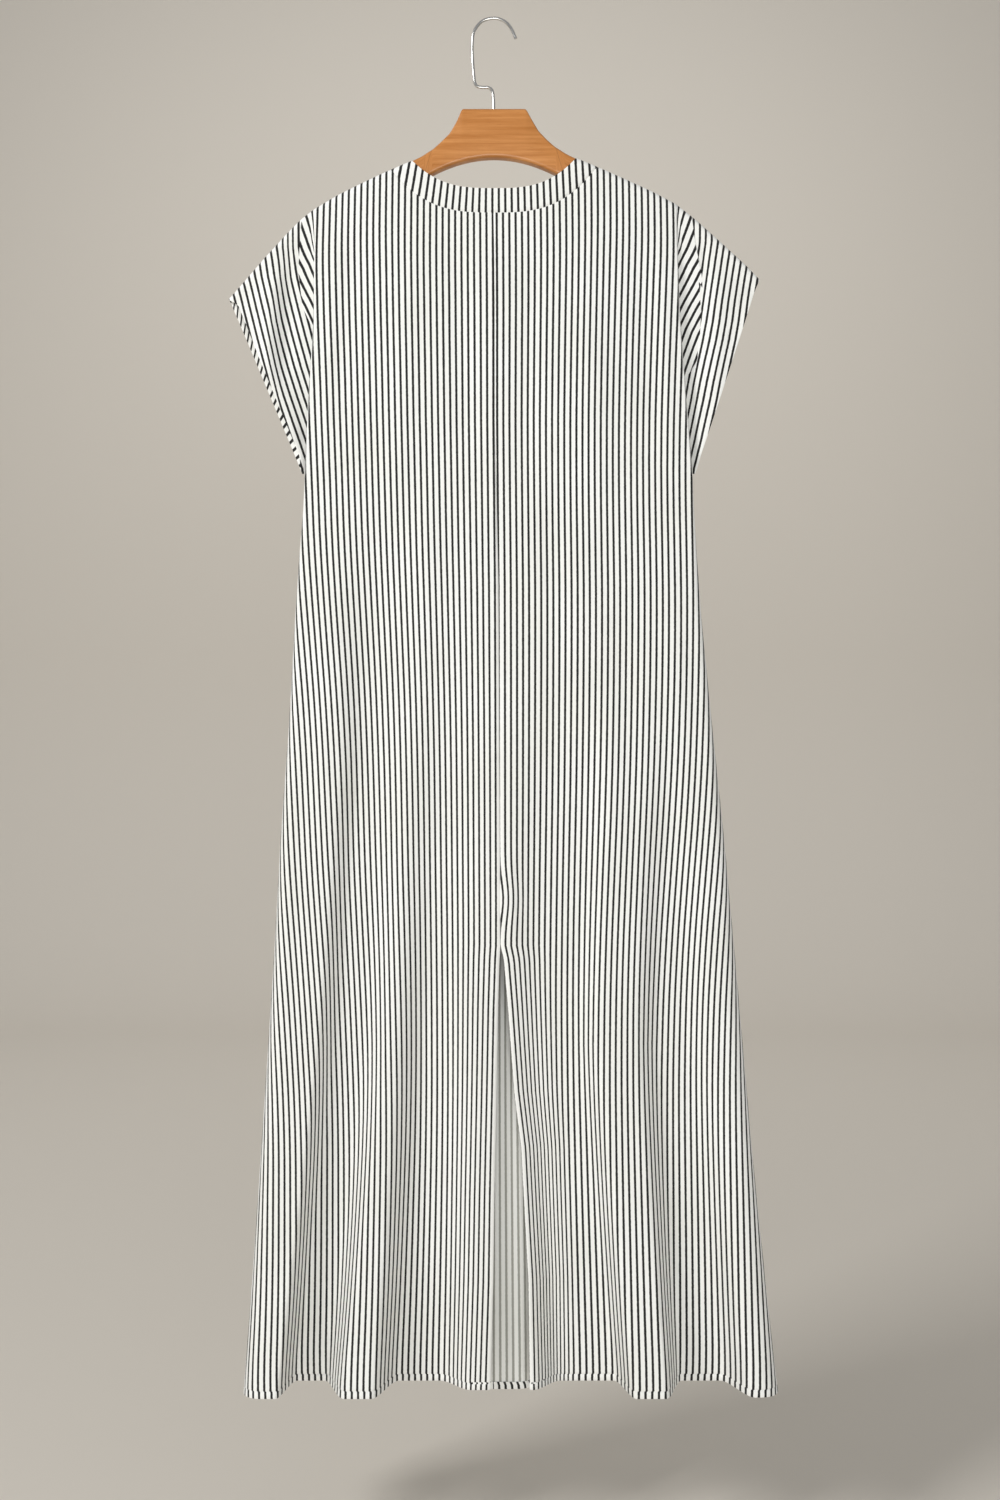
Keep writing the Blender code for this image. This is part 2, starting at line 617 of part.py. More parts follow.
def smooth_route(points, steps):
    """A Catmull-Rom curve through the points, as a list of points."""
    points = np.array(points)
    padded = np.vstack([2 * points[0] - points[1], points, 2 * points[-1] - points[-2]])
    smooth = []
    for a, b, c, d in zip(padded, padded[1:], padded[2:], padded[3:]):
        for step in range(steps):
            t = step / steps
            smooth.append(0.5 * (
                2 * b + (c - a) * t + (2 * a - 5 * b + 4 * c - d) * t**2
                + (3 * b - a - 3 * c + d) * t**3
            ))
    return [*smooth, points[-1]]


# ---------------------------------------------------------------- the dress and its hanger
def build():
    cloth = (0.88, 0.88, 0.85)
    shoulder_seam = (0, None, 1)
    for name, side in (("back_left", LEFT), ("back_right", RIGHT)):
        wall(name, half_panel(BACK, side), cloth, flat=[shoulder_seam, (None, 0, 0)])
    left, right = half_panel(FRONT, LEFT), half_panel(FRONT, RIGHT)
    wall("front", np.concatenate([left[:, :0:-1], right], axis=1), cloth, flat=[shoulder_seam])
    for name, side in (("sleeve_left", LEFT), ("sleeve_right", RIGHT)):
        ring = np.concatenate([sleeve_side(BACK, side), sleeve_side(FRONT, side)[-2:0:-1]])
        wall(name, ring.transpose(1, 0, 2), cloth, wraps=True)
    wall("neck_band", neck_band_grid(), cloth, thickness=BAND_WALL, wraps=True)
    hanger()
    hook()


for old in list(bpy.data.objects):
    bpy.data.objects.remove(old)
build()
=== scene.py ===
"""A short-sleeved maxi dress in striped crepe, hung by its shoulders on a flat wooden hanger.

Metres, +Z up, in the CAD's frame: the back of the dress faces -Y and the camera.
"""

import math

import bpy
import numpy as np
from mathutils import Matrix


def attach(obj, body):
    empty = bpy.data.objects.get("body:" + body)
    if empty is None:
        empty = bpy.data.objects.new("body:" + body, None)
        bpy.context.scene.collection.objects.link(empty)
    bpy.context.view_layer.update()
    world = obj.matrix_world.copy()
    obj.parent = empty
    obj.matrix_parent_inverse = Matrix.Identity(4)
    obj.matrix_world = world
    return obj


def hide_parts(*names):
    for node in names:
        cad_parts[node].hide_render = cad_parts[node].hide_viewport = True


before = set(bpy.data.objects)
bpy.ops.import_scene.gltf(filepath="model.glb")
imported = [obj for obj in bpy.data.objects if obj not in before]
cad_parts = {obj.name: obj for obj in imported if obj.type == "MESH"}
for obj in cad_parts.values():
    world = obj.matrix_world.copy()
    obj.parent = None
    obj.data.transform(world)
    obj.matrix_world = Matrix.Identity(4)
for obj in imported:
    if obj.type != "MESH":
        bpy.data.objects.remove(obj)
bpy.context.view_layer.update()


# ==================================================================== BACK PANELS
# Two panels of light polyester crepe, woven white with fine dark stripes down the cloth. They are
# sewn together down the centre back as far as the slit, whose edges are turned under and stitched,
# like the hem. The panels hang from the hanger in folds, and tuck in under the sleeves.
BACK, FRONT = -1, 1
LEFT, RIGHT = -1, 1
UNDERARM_Z = -0.489
HEM_Z = {BACK: -1.461, FRONT: -1.470}
SLIT_TOP_Z = -0.994
SHOULDER_ROUND = 0.008          # height over which the cloth turns over the hanger's arm
SHOULDER_POWER = 2.2
BLOCK_HALF_WIDTH = 0.0345       # of the hanger's flat middle
NECK_HALF_WIDTH = 0.1115
# The neck's seam: its height in the middle, and the power that squares its curve.
NECK_SEAM = {BACK: (-0.2106, 3.0), FRONT: (-0.2750, 2.5)}
HIDDEN_SEAM = 0.0020            # from the inner crease to an armhole seam hidden under it
LEAST_WAY_BACK = 0.0003         # of the cloth behind the side crease
SLEEVE_UNDER = 0.0018           # how much deeper the sleeve starts, where the side tuck unrolls
UNROLL_FROM = 0.78              # share of the way down the armhole at which it starts to

CLOTH = 0.0005                  # one layer of the crepe
TURNED = 0.0010                 # how far behind the cloth its turned edge lies
SEAM_ROLL = 0.0010              # how far the cloth dips into a seam
SEAM_ROLL_WIDTH = 0.0018

# The line over the shoulders: distance from the middle, height on the left and on the right.
SHOULDER = (
    (0.0345, -0.0965, -0.0965),
    (0.0400, -0.1098, -0.1069),
    (0.0475, -0.1226, -0.1197),
    (0.0560, -0.1311, -0.1288),
    (0.0650, -0.1393, -0.1368),
    (0.0775, -0.1474, -0.1448),
    (0.0905, -0.1539, -0.1511),
    (0.1165, -0.1650, -0.1620),
    (0.1420, -0.1770, -0.1733),
    (0.1680, -0.1900, -0.1852),
    (0.1940, -0.2056, -0.1988),
    (0.2070, -0.2157, -0.2086),
    (0.2200, -0.2286, -0.2194),
    (0.2455, -0.2564, -0.2424),
    (0.2715, -0.2864, -0.2663),
    (0.2850, -0.3018, -0.2803),
)
# Height, reach of the left edge and of the right edge, the edge's radius and angle, and the depth
# of the flat cloth beside it.
SECTIONS = (
    (-0.090, 0.1910, 0.1940, 0.0015, 40, 0.0095),
    (-0.215, 0.1920, 0.1948, 0.0015, 40, 0.0095),
    (-0.330, 0.1930, 0.1990, 0.0015, 150, 0.0120),
    (-0.420, 0.1990, 0.2060, 0.0015, 165, 0.0135),
    (-0.489, 0.2020, 0.2120, 0.0015, 158, 0.0140),
    (-0.530, 0.2040, 0.2138, 0.0030, 140, 0.0148),
    (-0.580, 0.2080, 0.2170, 0.0050, 115, 0.0155),
    (-0.640, 0.2122, 0.2215, 0.0075, 97, 0.0160),
    (-0.760, 0.2188, 0.2337, 0.0100, 90, 0.0165),
    (-0.880, 0.2275, 0.2460, 0.0120, 90, 0.0165),
    (-1.010, 0.2345, 0.2577, 0.0140, 90, 0.0160),
    (-1.220, 0.2480, 0.2757, 0.0170, 90, 0.0140),
    (-1.461, 0.2630, 0.2990, 0.0200, 90, 0.0120),
)
# Share of the way down the armhole, angle of the crease, how far the cloth runs back under it,
# the seam's place past the crease on the left and on the right, slant of the stripes past it.
ARMHOLE = (
    (0.00, 30, 0.0000, 0.0140, 0.0170, 0.0000),
    (0.10, 70, 0.0000, 0.0160, 0.0200, 0.0075),
    (0.20, 115, 0.0010, 0.0178, 0.0260, 0.0140),
    (0.35, 150, 0.0050, 0.0130, 0.0285, 0.0180),
    (0.45, 158, 0.0085, 0.0020, 0.0260, 0.0200),
    (0.55, 162, 0.0120, -0.0080, 0.0170, 0.0200),
    (0.68, 165, 0.0165, -0.0300, -0.0040, 0.0200),
    (0.80, 168, 0.0210, -0.0300, -0.0300, 0.0200),
    (0.92, 168, 0.0250, -0.0300, -0.0300, 0.0200),
    (1.00, 158, 0.0278, -0.0300, -0.0300, 0.0200),
)
# Height, inner edge of the left panel, inner edge of the right panel.
CENTRE_BACK = (
    (-0.200, -0.0008, -0.0008),
    (-0.310, 0.0010, 0.0010),
    (-0.434, 0.0012, 0.0012),
    (-0.610, 0.0048, 0.0048),
    (-0.957, 0.0067, 0.0067),
    (-0.994, 0.0066, 0.0068),
    (-1.010, 0.0056, 0.0106),
    (-1.060, 0.0040, 0.0148),
    (-1.150, 0.0023, 0.0215),
    (-1.210, 0.0010, 0.0290),
    (-1.263, 0.0000, 0.0318),
    (-1.350, -0.0010, 0.0365),
    (-1.461, -0.0042, 0.0380),
)
# Folds: start, depth at the hem, left and right edges high up, half-way down and at the hem,
# widths of the two flanks at the hem.
BEYOND = 0.60                   # an edge outside the dress: the fold runs round its side
FOLD_HIGH_Z = -0.800
FOLD_MIDDLE_Z = -1.100
FOLDS = {
    BACK: (
        (-0.520, 0.050, -BEYOND, -0.153, -BEYOND, -0.178, -BEYOND, -0.2193, 0.10, 0.016),
        (-0.740, 0.050, -0.106, -0.074, -0.125, -0.089, -0.1686, -0.1149, 0.026, 0.026),
        (-0.620, 0.026, -0.030, 0.036, -0.035, 0.031, -0.0410, 0.0560, 0.034, 0.030),
        (-0.700, 0.050, 0.110, 0.172, 0.100, 0.163, 0.1385, 0.1900, 0.020, 0.022),
        (-0.740, 0.046, 0.208, BEYOND, 0.220, BEYOND, 0.2570, BEYOND, 0.030, 0.10),
    ),
    FRONT: (
        (-0.560, 0.040, -BEYOND, -0.165, -BEYOND, -0.185, -BEYOND, -0.2230, 0.10, 0.022),
        (-0.700, 0.048, -0.128, -0.092, -0.145, -0.100, -0.1620, -0.1080, 0.024, 0.028),
        (-0.780, 0.034, -0.062, -0.034, -0.068, -0.034, -0.0760, -0.0330, 0.026, 0.024),
        (-0.640, 0.044, 0.050, 0.088, 0.056, 0.098, 0.0620, 0.1120, 0.028, 0.024),
        (-0.740, 0.048, 0.140, 0.176, 0.150, 0.192, 0.1640, 0.2130, 0.024, 0.026),
        (-0.800, 0.036, 0.212, BEYOND, 0.228, BEYOND, 0.2550, BEYOND, 0.026, 0.10),
    ),
}
EARLY_GROWTH = 0.6              # share of a fold's depth that comes evenly, the rest by the hem
LATE_POWER = 7                  # the rest comes with this power of the way down
FLANK_EXTRA = 0.014             # how much wider the flanks are where a fold starts
# The front hangs back behind the slit: middle, depth, half width, top, height it takes to do so,
# and how flat its bottom is.
SLIT_HOLLOW = (0.012, 0.024, 0.040, -0.874, 0.300, 1.35)

# Soft creases: face, one end (x, z), the other end (x, z), half width, height. Those that stand
# out are ridges, those with a negative height troughs.
CREASE_FADE = 0.30              # share of a crease's length over which it fades in and out
CREASE_START = 0.15             # share of that fade that it has behind it at its very end
CREASE_CLEAR = 0.020            # how far from the side crease the soft creases fade out
CREASES = (
    (BACK, -0.042, -0.233, -0.026, -0.488, 0.014, -0.0014),
    (BACK, -0.089, -0.243, -0.105, -0.542, 0.017, 0.0015),
    (BACK, -0.143, -0.217, -0.169, -0.435, 0.014, -0.0012),
    (BACK, -0.171, -0.233, -0.183, -0.499, 0.010, 0.0010),
    (BACK, 0.044, -0.233, 0.033, -0.542, 0.015, -0.0014),
    (BACK, 0.097, -0.243, 0.113, -0.584, 0.018, 0.0014),
    (BACK, 0.155, -0.222, 0.171, -0.478, 0.014, -0.0012),
    (BACK, 0.181, -0.243, 0.190, -0.499, 0.009, 0.0010),
    (BACK, -0.068, -0.499, -0.084, -0.840, 0.018, 0.0018),
    (BACK, -0.121, -0.520, -0.137, -0.904, 0.016, -0.0018),
    (BACK, -0.175, -0.584, -0.183, -0.946, 0.013, 0.0014),
    (BACK, 0.060, -0.488, 0.070, -0.819, 0.016, -0.0018),
    (BACK, 0.134, -0.584, 0.155, -0.946, 0.016, -0.0016),
    (BACK, 0.187, -0.584, 0.209, -0.946, 0.013, 0.0014),
    (BACK, 0.014, -0.890, 0.021, -0.990, 0.006, 0.0016),
    (BACK, -0.036, -0.925, -0.041, -1.266, 0.013, 0.0020),
    (BACK, -0.079, -1.032, -0.074, -1.372, 0.012, -0.0018),
    (BACK, 0.070, -1.000, 0.083, -1.319, 0.013, -0.0018),
    (BACK, -0.206, -0.755, -0.219, -1.106, 0.010, -0.0016),
    (BACK, 0.236, -0.946, 0.255, -1.319, 0.010, -0.0016),
    (BACK, -0.187, -0.500, -0.121, -0.470, 0.009, -0.0010),
    (BACK, 0.198, -0.498, 0.150, -0.466, 0.009, -0.0010),
    (FRONT, -0.060, -0.300, -0.045, -0.560, 0.016, -0.0014),
    (FRONT, -0.130, -0.230, -0.150, -0.480, 0.014, 0.0012),
    (FRONT, 0.055, -0.300, 0.048, -0.600, 0.017, 0.0014),
    (FRONT, 0.140, -0.230, 0.165, -0.500, 0.014, -0.0012),
    (FRONT, 0.010, -0.420, -0.010, -0.780, 0.018, -0.0016),
    (FRONT, -0.100, -0.560, -0.115, -0.880, 0.016, 0.0016),
    (FRONT, 0.110, -0.560, 0.125, -0.900, 0.016, -0.0016),
    (FRONT, 0.185, -0.600, 0.205, -0.960, 0.012, 0.0014),
    (FRONT, -0.190, -0.640, -0.206, -1.000, 0.012, -0.0014),
    (FRONT, 0.000, -0.900, -0.008, -1.300, 0.014, 0.0016),
)

# Cloth in the panels for each length of it drawn here, by height, left and right of the centre
# back. The crepe's own crinkle and small waves take up the rest, which crowds the stripes.
FULLNESS = (
    (-0.200, 1.022, 1.012),
    (-0.232, 1.003, 0.994),
    (-0.306, 1.005, 1.014),
    (-0.413, 1.030, 1.039),
    (-0.498, 1.045, 1.050),
    (-0.584, 1.060, 1.045),
    (-0.669, 1.095, 1.045),
    (-0.755, 1.130, 1.055),
    (-0.840, 1.145, 1.070),
    (-0.925, 1.150, 1.095),
    (-1.011, 1.165, 1.112),
    (-1.096, 1.168, 1.105),
    (-1.182, 1.158, 1.080),
    (-1.267, 1.125, 1.045),
    (-1.352, 1.090, 1.010),
    (-1.464, 1.035, 0.965),
)
FULLNESS_REACH = 0.045          # up and down, over which the table is averaged
OFF_GRAIN = 0.6                 # how much of the centre back seam's slant cuts across the stripes
FIRST_STRIPE = {LEFT: 0.0010, RIGHT: 0.0033}    # its distance from the seam at the neck
# Stripes bow outwards right of the centre back seam, just above the slit: height, half height,
# reach from the seam, how far.
SLIT_PUCKER = (-0.945, 0.026, 0.032, 0.0046)
SLIT_REACH = 0.055              # how far from the slit the stripes follow its edge
SIDE_REACH = 0.008              # how far past the side crease they take on the armhole's slant


def mix(a, b, share):
    return a + (b - a) * share


def ease(share):
    share = np.clip(share, 0, 1)
    return share * share * (3 - 2 * share)


def column(table, key, number):
    """Column of a table, read between its rows at `key` in its first column."""
    rows = sorted(table)
    return np.interp(key, [row[0] for row in rows], [row[number] for row in rows])


def by_side(side, left_number):
    """Number of a table's column for this side: the right one stands next to the left one."""
    return left_number if side == LEFT else left_number + 1


def runs(path):
    """Distance of each point of a polyline from its start."""
    return np.concatenate([[0], np.cumsum(np.linalg.norm(np.diff(path, axis=0), axis=1))])


def along(path, places):
    """Points at these distances along a polyline."""
    return np.stack([np.interp(places, runs(path), part) for part in path.T], axis=1)


def shoulder_z(x):
    """Height of the line over the shoulders."""
    left = column(SHOULDER, np.abs(x), 1)
    right = column(SHOULDER, np.abs(x), 2)
    return mix(left, right, ease(0.5 + np.asarray(x) / (2 * BLOCK_HALF_WIDTH)))


def neck_z(x, half_width, middle_z, power):
    """Height of a line round the neck that ends on the shoulders."""
    end_z = shoulder_z(np.sign(x) * half_width)
    return middle_z + (end_z - middle_z) * np.clip(np.abs(x) / half_width, 0, 1) ** power


def top_z(face, x):
    """Height of a panel's upper edge: the neck's seam, and the shoulders beside it."""
    neckline = neck_z(x, NECK_HALF_WIDTH, *NECK_SEAM[face])
    return np.where(np.abs(x) < NECK_HALF_WIDTH, neckline, shoulder_z(x))


def over_hanger(x, z):
    """Share of the full depth that the cloth has where it turns over the hanger's arm."""
    below = np.clip((shoulder_z(x) - z) / SHOULDER_ROUND, 0, 1)
    return (1 - (1 - below) ** SHOULDER_POWER) ** (1 / SHOULDER_POWER)


def fold_depth(face, x, z, late=1 - EARLY_GROWTH):
    """How far the folds stand out."""
    total = np.zeros_like(x)
    hem_z = HEM_Z[face]
    heights = (hem_z, FOLD_MIDDLE_Z, FOLD_HIGH_Z)
    for start_z, depth, left_0, right_0, left_1, right_1, left_2, right_2, *flanks in FOLDS[face]:
        share = np.clip((start_z - z) / (start_z - hem_z), 0, 1)
        left = np.interp(z, heights, (left_2, left_1, left_0))
        right = np.interp(z, heights, (right_2, right_1, right_0))
        left_flank, right_flank = (flank + FLANK_EXTRA * (1 - share) for flank in flanks)
        rise = ease(0.5 + (x - left) / left_flank)
        fall = ease(0.5 + (right - x) / right_flank)
        growth = EARLY_GROWTH * share + late * share**LATE_POWER
        total += depth * growth * rise * fall
    return total


def hollow_depth(face, x, z):
    """How far the front hangs back behind the slit."""
    if face == BACK:
        return np.zeros_like(x)
    middle, depth, half_width, top, fade, flatness = SLIT_HOLLOW
    across = ease(flatness - np.abs(x - middle) / half_width)
    return -depth * across * ease((top - z) / fade)


def crease_depth(creases, x, z):
    """How far the soft creases stand out."""
    total = np.zeros_like(x)
    for x_0, z_0, x_1, z_1, half_width, height in creases:
        run = math.hypot(x_1 - x_0, z_1 - z_0)
        ahead = ((x - x_0) * (x_1 - x_0) + (z - z_0) * (z_1 - z_0)) / run**2
        aside = ((x - x_0) * (z_1 - z_0) - (z - z_0) * (x_1 - x_0)) / run
        fade_in = ease(ahead / CREASE_FADE + CREASE_START)
        fade = fade_in * ease((1 - ahead) / CREASE_FADE + CREASE_START)
        total += height * fade * np.exp(-((aside / half_width) ** 2))
    return total


ARC_POINTS = 13
SECTION_POINTS = 400            # of a main stretch, before it is cut into columns
EDGE_STOPS = (0, 0.60, 0.95, 1)     # where the way from the side crease to the side seam is cut


def turn(start, heading, angle, radius):
    """An arc in plan that turns right by this angle, or left if it is negative."""
    ways = heading - angle * np.linspace(0, 1, ARC_POINTS)
    radius = math.copysign(radius, angle)
    centre = start + radius * np.array([math.sin(heading), -math.cos(heading)])
    return centre - radius * np.stack([np.sin(ways), -np.cos(ways)], axis=1), heading - angle


def inner_edge(face, side, z):
    """Distance of a half panel's inner edge from the middle."""
    return 0.0 if face == FRONT else column(CENTRE_BACK, z, by_side(side, 1)) * side


def section(face, side, share, z, late=1 - EARLY_GROWTH):
    """Half a section in plan: its main stretch, its four edge stretches, the sleeve's start."""
    edge_x = column(SECTIONS, z, by_side(side, 1))
    radius = column(SECTIONS, z, 3)
    in_armhole = share < 1
    angle = math.radians(column(ARMHOLE, share, 1) if in_armhole else column(SECTIONS, z, 4))
    start_x = edge_x - radius * math.sin(min(angle, math.pi / 2))
    across = np.linspace(inner_edge(face, side, z), start_x, SECTION_POINTS)
    x = across * side
    depth = column(SECTIONS, z, 5) + fold_depth(face, x, z, late) + hollow_depth(face, x, z)
    main = np.stack([across, depth], axis=1)
    round_edge, heading = turn(main[-1], 0.0, angle, radius)
    end = round_edge[-1]
    way = np.array([math.cos(heading), math.sin(heading)])
    if not in_armhole:
        run = end[1] / math.sin(angle)
        stops = [end + run * stop * way for stop in EDGE_STOPS]
        return main, [round_edge, *(np.array(pair) for pair in zip(stops, stops[1:]))], None
    inner = end + max(column(ARMHOLE, share, 2), LEAST_WAY_BACK) * way
    unrolled = float(ease((share - UNROLL_FROM) / (1 - UNROLL_FROM)))
    turn_back, heading = turn(inner, heading, -angle * (1 - unrolled), radius)
    end = turn_back[-1]
    seam_x = max(edge_x + column(ARMHOLE, share, by_side(side, 3)), end[0] + HIDDEN_SEAM)
    seam = np.array([seam_x, end[1]])
    if unrolled > 0:
        seam = end + HIDDEN_SEAM * np.array([math.cos(heading), math.sin(heading)])
    sleeve_start = np.array([seam[0], max(seam[1] - SLEEVE_UNDER * unrolled, CLOTH)])
    way_back = [round_edge, np.array([round_edge[-1], inner]), turn_back]
    return main, [*way_back, np.array([end, seam])], sleeve_start


def row_z(face, x, share):
    """Height of an armhole row: rows share out the height from the shoulder to the underarm."""
    return mix(top_z(face, x), UNDERARM_Z, share)


# The grid of one half panel. Its columns, outwards: distances from its inner edge, a number as far
# as the end of the neck's seam, distances before that end, a number as far as the side crease, and
# a number in each of the four edge stretches.
MIDDLE_COLUMNS = (0, 0.0003, 0.0008, 0.0016, 0.0030, 0.0060, 0.0110)
NECK_COLUMNS = 62
NECK_END_COLUMNS = (0.0040, 0.0015, 0.0005)
SHOULDER_COLUMNS = 66
EDGE_COLUMNS = (6, 5, 6, 5)
# Its rows, downwards: shares of the armhole, and from there on even steps of it, even steps of
# height below the underarm, and heights above the hem.
ARMHOLE_ROWS = (0, 0.0006, 0.0015, 0.003, 0.005, 0.008, 0.012, 0.018, 0.025, 0.034, 0.045)
ARMHOLE_ROW_STEP = 0.018
BODY_ROW_STEP = 0.0065
HEM_ROWS = (0.0130, 0.0095, 0.0080, 0.0074, 0.0070, 0.0066, 0.0058, 0.0040, 0.0018, 0.0005)
HEM_TURNED = (-2, -4, -8)       # the rows of the hem that its turned edge lies behind
SLIT_TURNED = (2, 4, 6)         # the columns that the slit's turned edge lies behind
HEM_STITCH = 0.0066             # height of the stitch line above the hem
HEM_PUFF = 0.0006               # how far the hem stands out below it, and dips at it
HEM_DIP = (0.0070, 0.0006)      # height and half width of that dip
# How far the sewing has pushed the hem along the stripes, from which height, and in what height.
HEM_SHIFT = (0.0011, 0.0074, 0.0012)
NO_EDGE = 0.5                   # a distance that stands for no stitched edge nearby


def armhole_shares():
    """Shares of the way down the armhole at which its rows lie."""
    steps = np.arange(ARMHOLE_ROWS[-1], 1, ARMHOLE_ROW_STEP)
    return [*ARMHOLE_ROWS[:-1], *np.linspace(steps[0], 1, len(steps) + 1)]


def panel_rows(face, crease_x):
    """A panel's rows from its top to its hem: share of the armhole, height at the side crease, and
    whether it is an armhole row."""
    lowest = HEM_Z[face] + HEM_ROWS[0]
    count = round((UNDERARM_Z - lowest) / BODY_ROW_STEP)
    body = [*np.linspace(UNDERARM_Z, lowest, count + 1)[1:]]
    body += [HEM_Z[face] + up for up in (*HEM_ROWS[1:], 0)]
    in_armhole = [(share, float(row_z(face, crease_x, share)), True) for share in armhole_shares()]
    return in_armhole + [(1, height, False) for height in body]


def panel_columns(face, side, top):
    """Shares of the main stretch at which the columns lie."""
    main = section(face, side, 0, top)[0]
    first_x, last_x = main[0, 0], main[-1, 0]
    places = np.concatenate([
        first_x + np.array(MIDDLE_COLUMNS),
        np.linspace(first_x + MIDDLE_COLUMNS[-1], NECK_HALF_WIDTH - NECK_END_COLUMNS[0],
                    NECK_COLUMNS)[1:-1],
        NECK_HALF_WIDTH - np.array(NECK_END_COLUMNS),
        np.linspace(NECK_HALF_WIDTH, last_x, SHOULDER_COLUMNS, endpoint=False),
    ])
    return (places - first_x) / (last_x - first_x)


def panel_relief(face, x, z, run, crease_run):
    """How far one row stands out from the plain form: its soft creases, its hem, and the seams."""
    creases = [crease[1:] for crease in CREASES if crease[0] == face]
    relief = ease((crease_run - run) / CREASE_CLEAR) * crease_depth(creases, x, z)
    if face == BACK:
        relief -= SEAM_ROLL * ease(1 - run / SEAM_ROLL_WIDTH)
    up = z - HEM_Z[face]
    dip_at, dip_width = HEM_DIP
    relief += HEM_PUFF * np.sin(math.pi * np.clip(up / HEM_STITCH, 0, 1))
    relief -= HEM_PUFF * np.exp(-((up - dip_at) / dip_width) ** 2)
    from_neck = np.where(np.abs(x) < NECK_HALF_WIDTH, top_z(face, x) - z, NO_EDGE)
    return relief - SEAM_ROLL * ease(1 - from_neck / SEAM_ROLL_WIDTH)


def across_stripes(face, side, level, run, up):
    """Where one row's points lie on the flat cloth, across its stripes."""
    near = level + FULLNESS_REACH * np.linspace(-1, 1, 9)
    fullness = column(FULLNESS, near, by_side(side, 1)).mean()
    seam_x = inner_edge(face, side, max(level, SLIT_TOP_Z))
    moved = inner_edge(face, side, level) - seam_x
    across = (run + moved * ease(run / SLIT_REACH)) * fullness + OFF_GRAIN * seam_x
    shift, shift_from, shift_within = HEM_SHIFT
    across += shift * ease((shift_from - up) / shift_within)
    if face == BACK:
        across -= FIRST_STRIPE[side]
    if face == BACK and side == RIGHT:
        at_z, half_height, reach, shift = SLIT_PUCKER
        across -= shift * np.exp(-((level - at_z) / half_height) ** 2) * ease(1 - run / reach)
    return across


def half_panel(face, side):
    """Points of one half of a panel, columns outwards from the middle, and two maps: the place of
    each point on the flat cloth, and its distances from the hem and from the slit's edge."""
    crease_x = side * column(SECTIONS, UNDERARM_Z, by_side(side, 1))
    rows = panel_rows(face, crease_x)
    shares = panel_columns(face, side, rows[0][1])
    main_count = len(shares)
    points, cloth, edges = [], [], []
    for share, level, in_armhole in rows:
        main, edge, _ = section(face, side, share, level)
        parts = [along(main, shares * runs(main)[-1])]
        for stretch, count in zip(edge, EDGE_COLUMNS):
            parts.append(along(stretch, np.arange(count) / count * runs(stretch)[-1]))
        plan = np.vstack([*parts, edge[-1][-1:]])
        x = side * plan[:, 0]
        z = row_z(face, x, share) if in_armhole else np.full(len(x), level)
        run = runs(plan)
        depth = plan[:, 1] + panel_relief(face, x, z, run, run[main_count])
        points.append(np.stack([x, face * depth * over_hanger(x, z), z], axis=1))

        # The stripes lie on the main stretch as if the folds did not deepen so fast above the
        # hem, which keeps them upright there.
        calm = section(face, side, share, level, late=0)[0]
        calm_run = np.interp(plan[:main_count, 0], calm[:, 0], runs(calm))
        run = np.concatenate([calm_run, calm_run[-1] + run[main_count:] - run[main_count - 1]])
        across = across_stripes(face, side, level, run, z - HEM_Z[face])
        if in_armhole:
            across += ease((run - run[main_count]) / SIDE_REACH) * column(ARMHOLE, share, 5)
        cloth.append(np.stack([side * across, z], axis=1))
        by_slit = run if face == BACK and level < SLIT_TOP_Z else run + NO_EDGE
        edges.append(np.stack([z - HEM_Z[face], by_slit], axis=1))
    return np.array(points), np.array(cloth), np.array(edges)


def normals_of(grid, wraps=False):
    """Unit normals of a grid of points, whose columns may run on round to the first one."""
    if wraps:
        ring = np.concatenate([grid[:, -1:], grid, grid[:, :1]], axis=1)
        across = ring[:, 2:] - ring[:, :-2]
    else:
        across = np.gradient(grid, axis=1)
    normals = np.cross(across, np.gradient(grid, axis=0))
    return normals / np.maximum(np.linalg.norm(normals, axis=2, keepdims=True), 1e-12)


def turn_under(grid, maps, normals, lines):
    """Folds a grid back behind its last rows: `lines` are the rows that lie over the turned part.
    The maps go on past the edge, as the cloth does."""
    extra = [grid[i] - TURNED * normals[i] for i in lines]
    grid = np.stack([*grid, grid[-1] - TURNED / 2 * normals[-1], *extra])
    folded = []
    for values in maps:
        edge = values[-1]
        folded.append(np.stack([*values, edge, *[2 * edge - values[i] for i in lines]]))
    return grid, folded


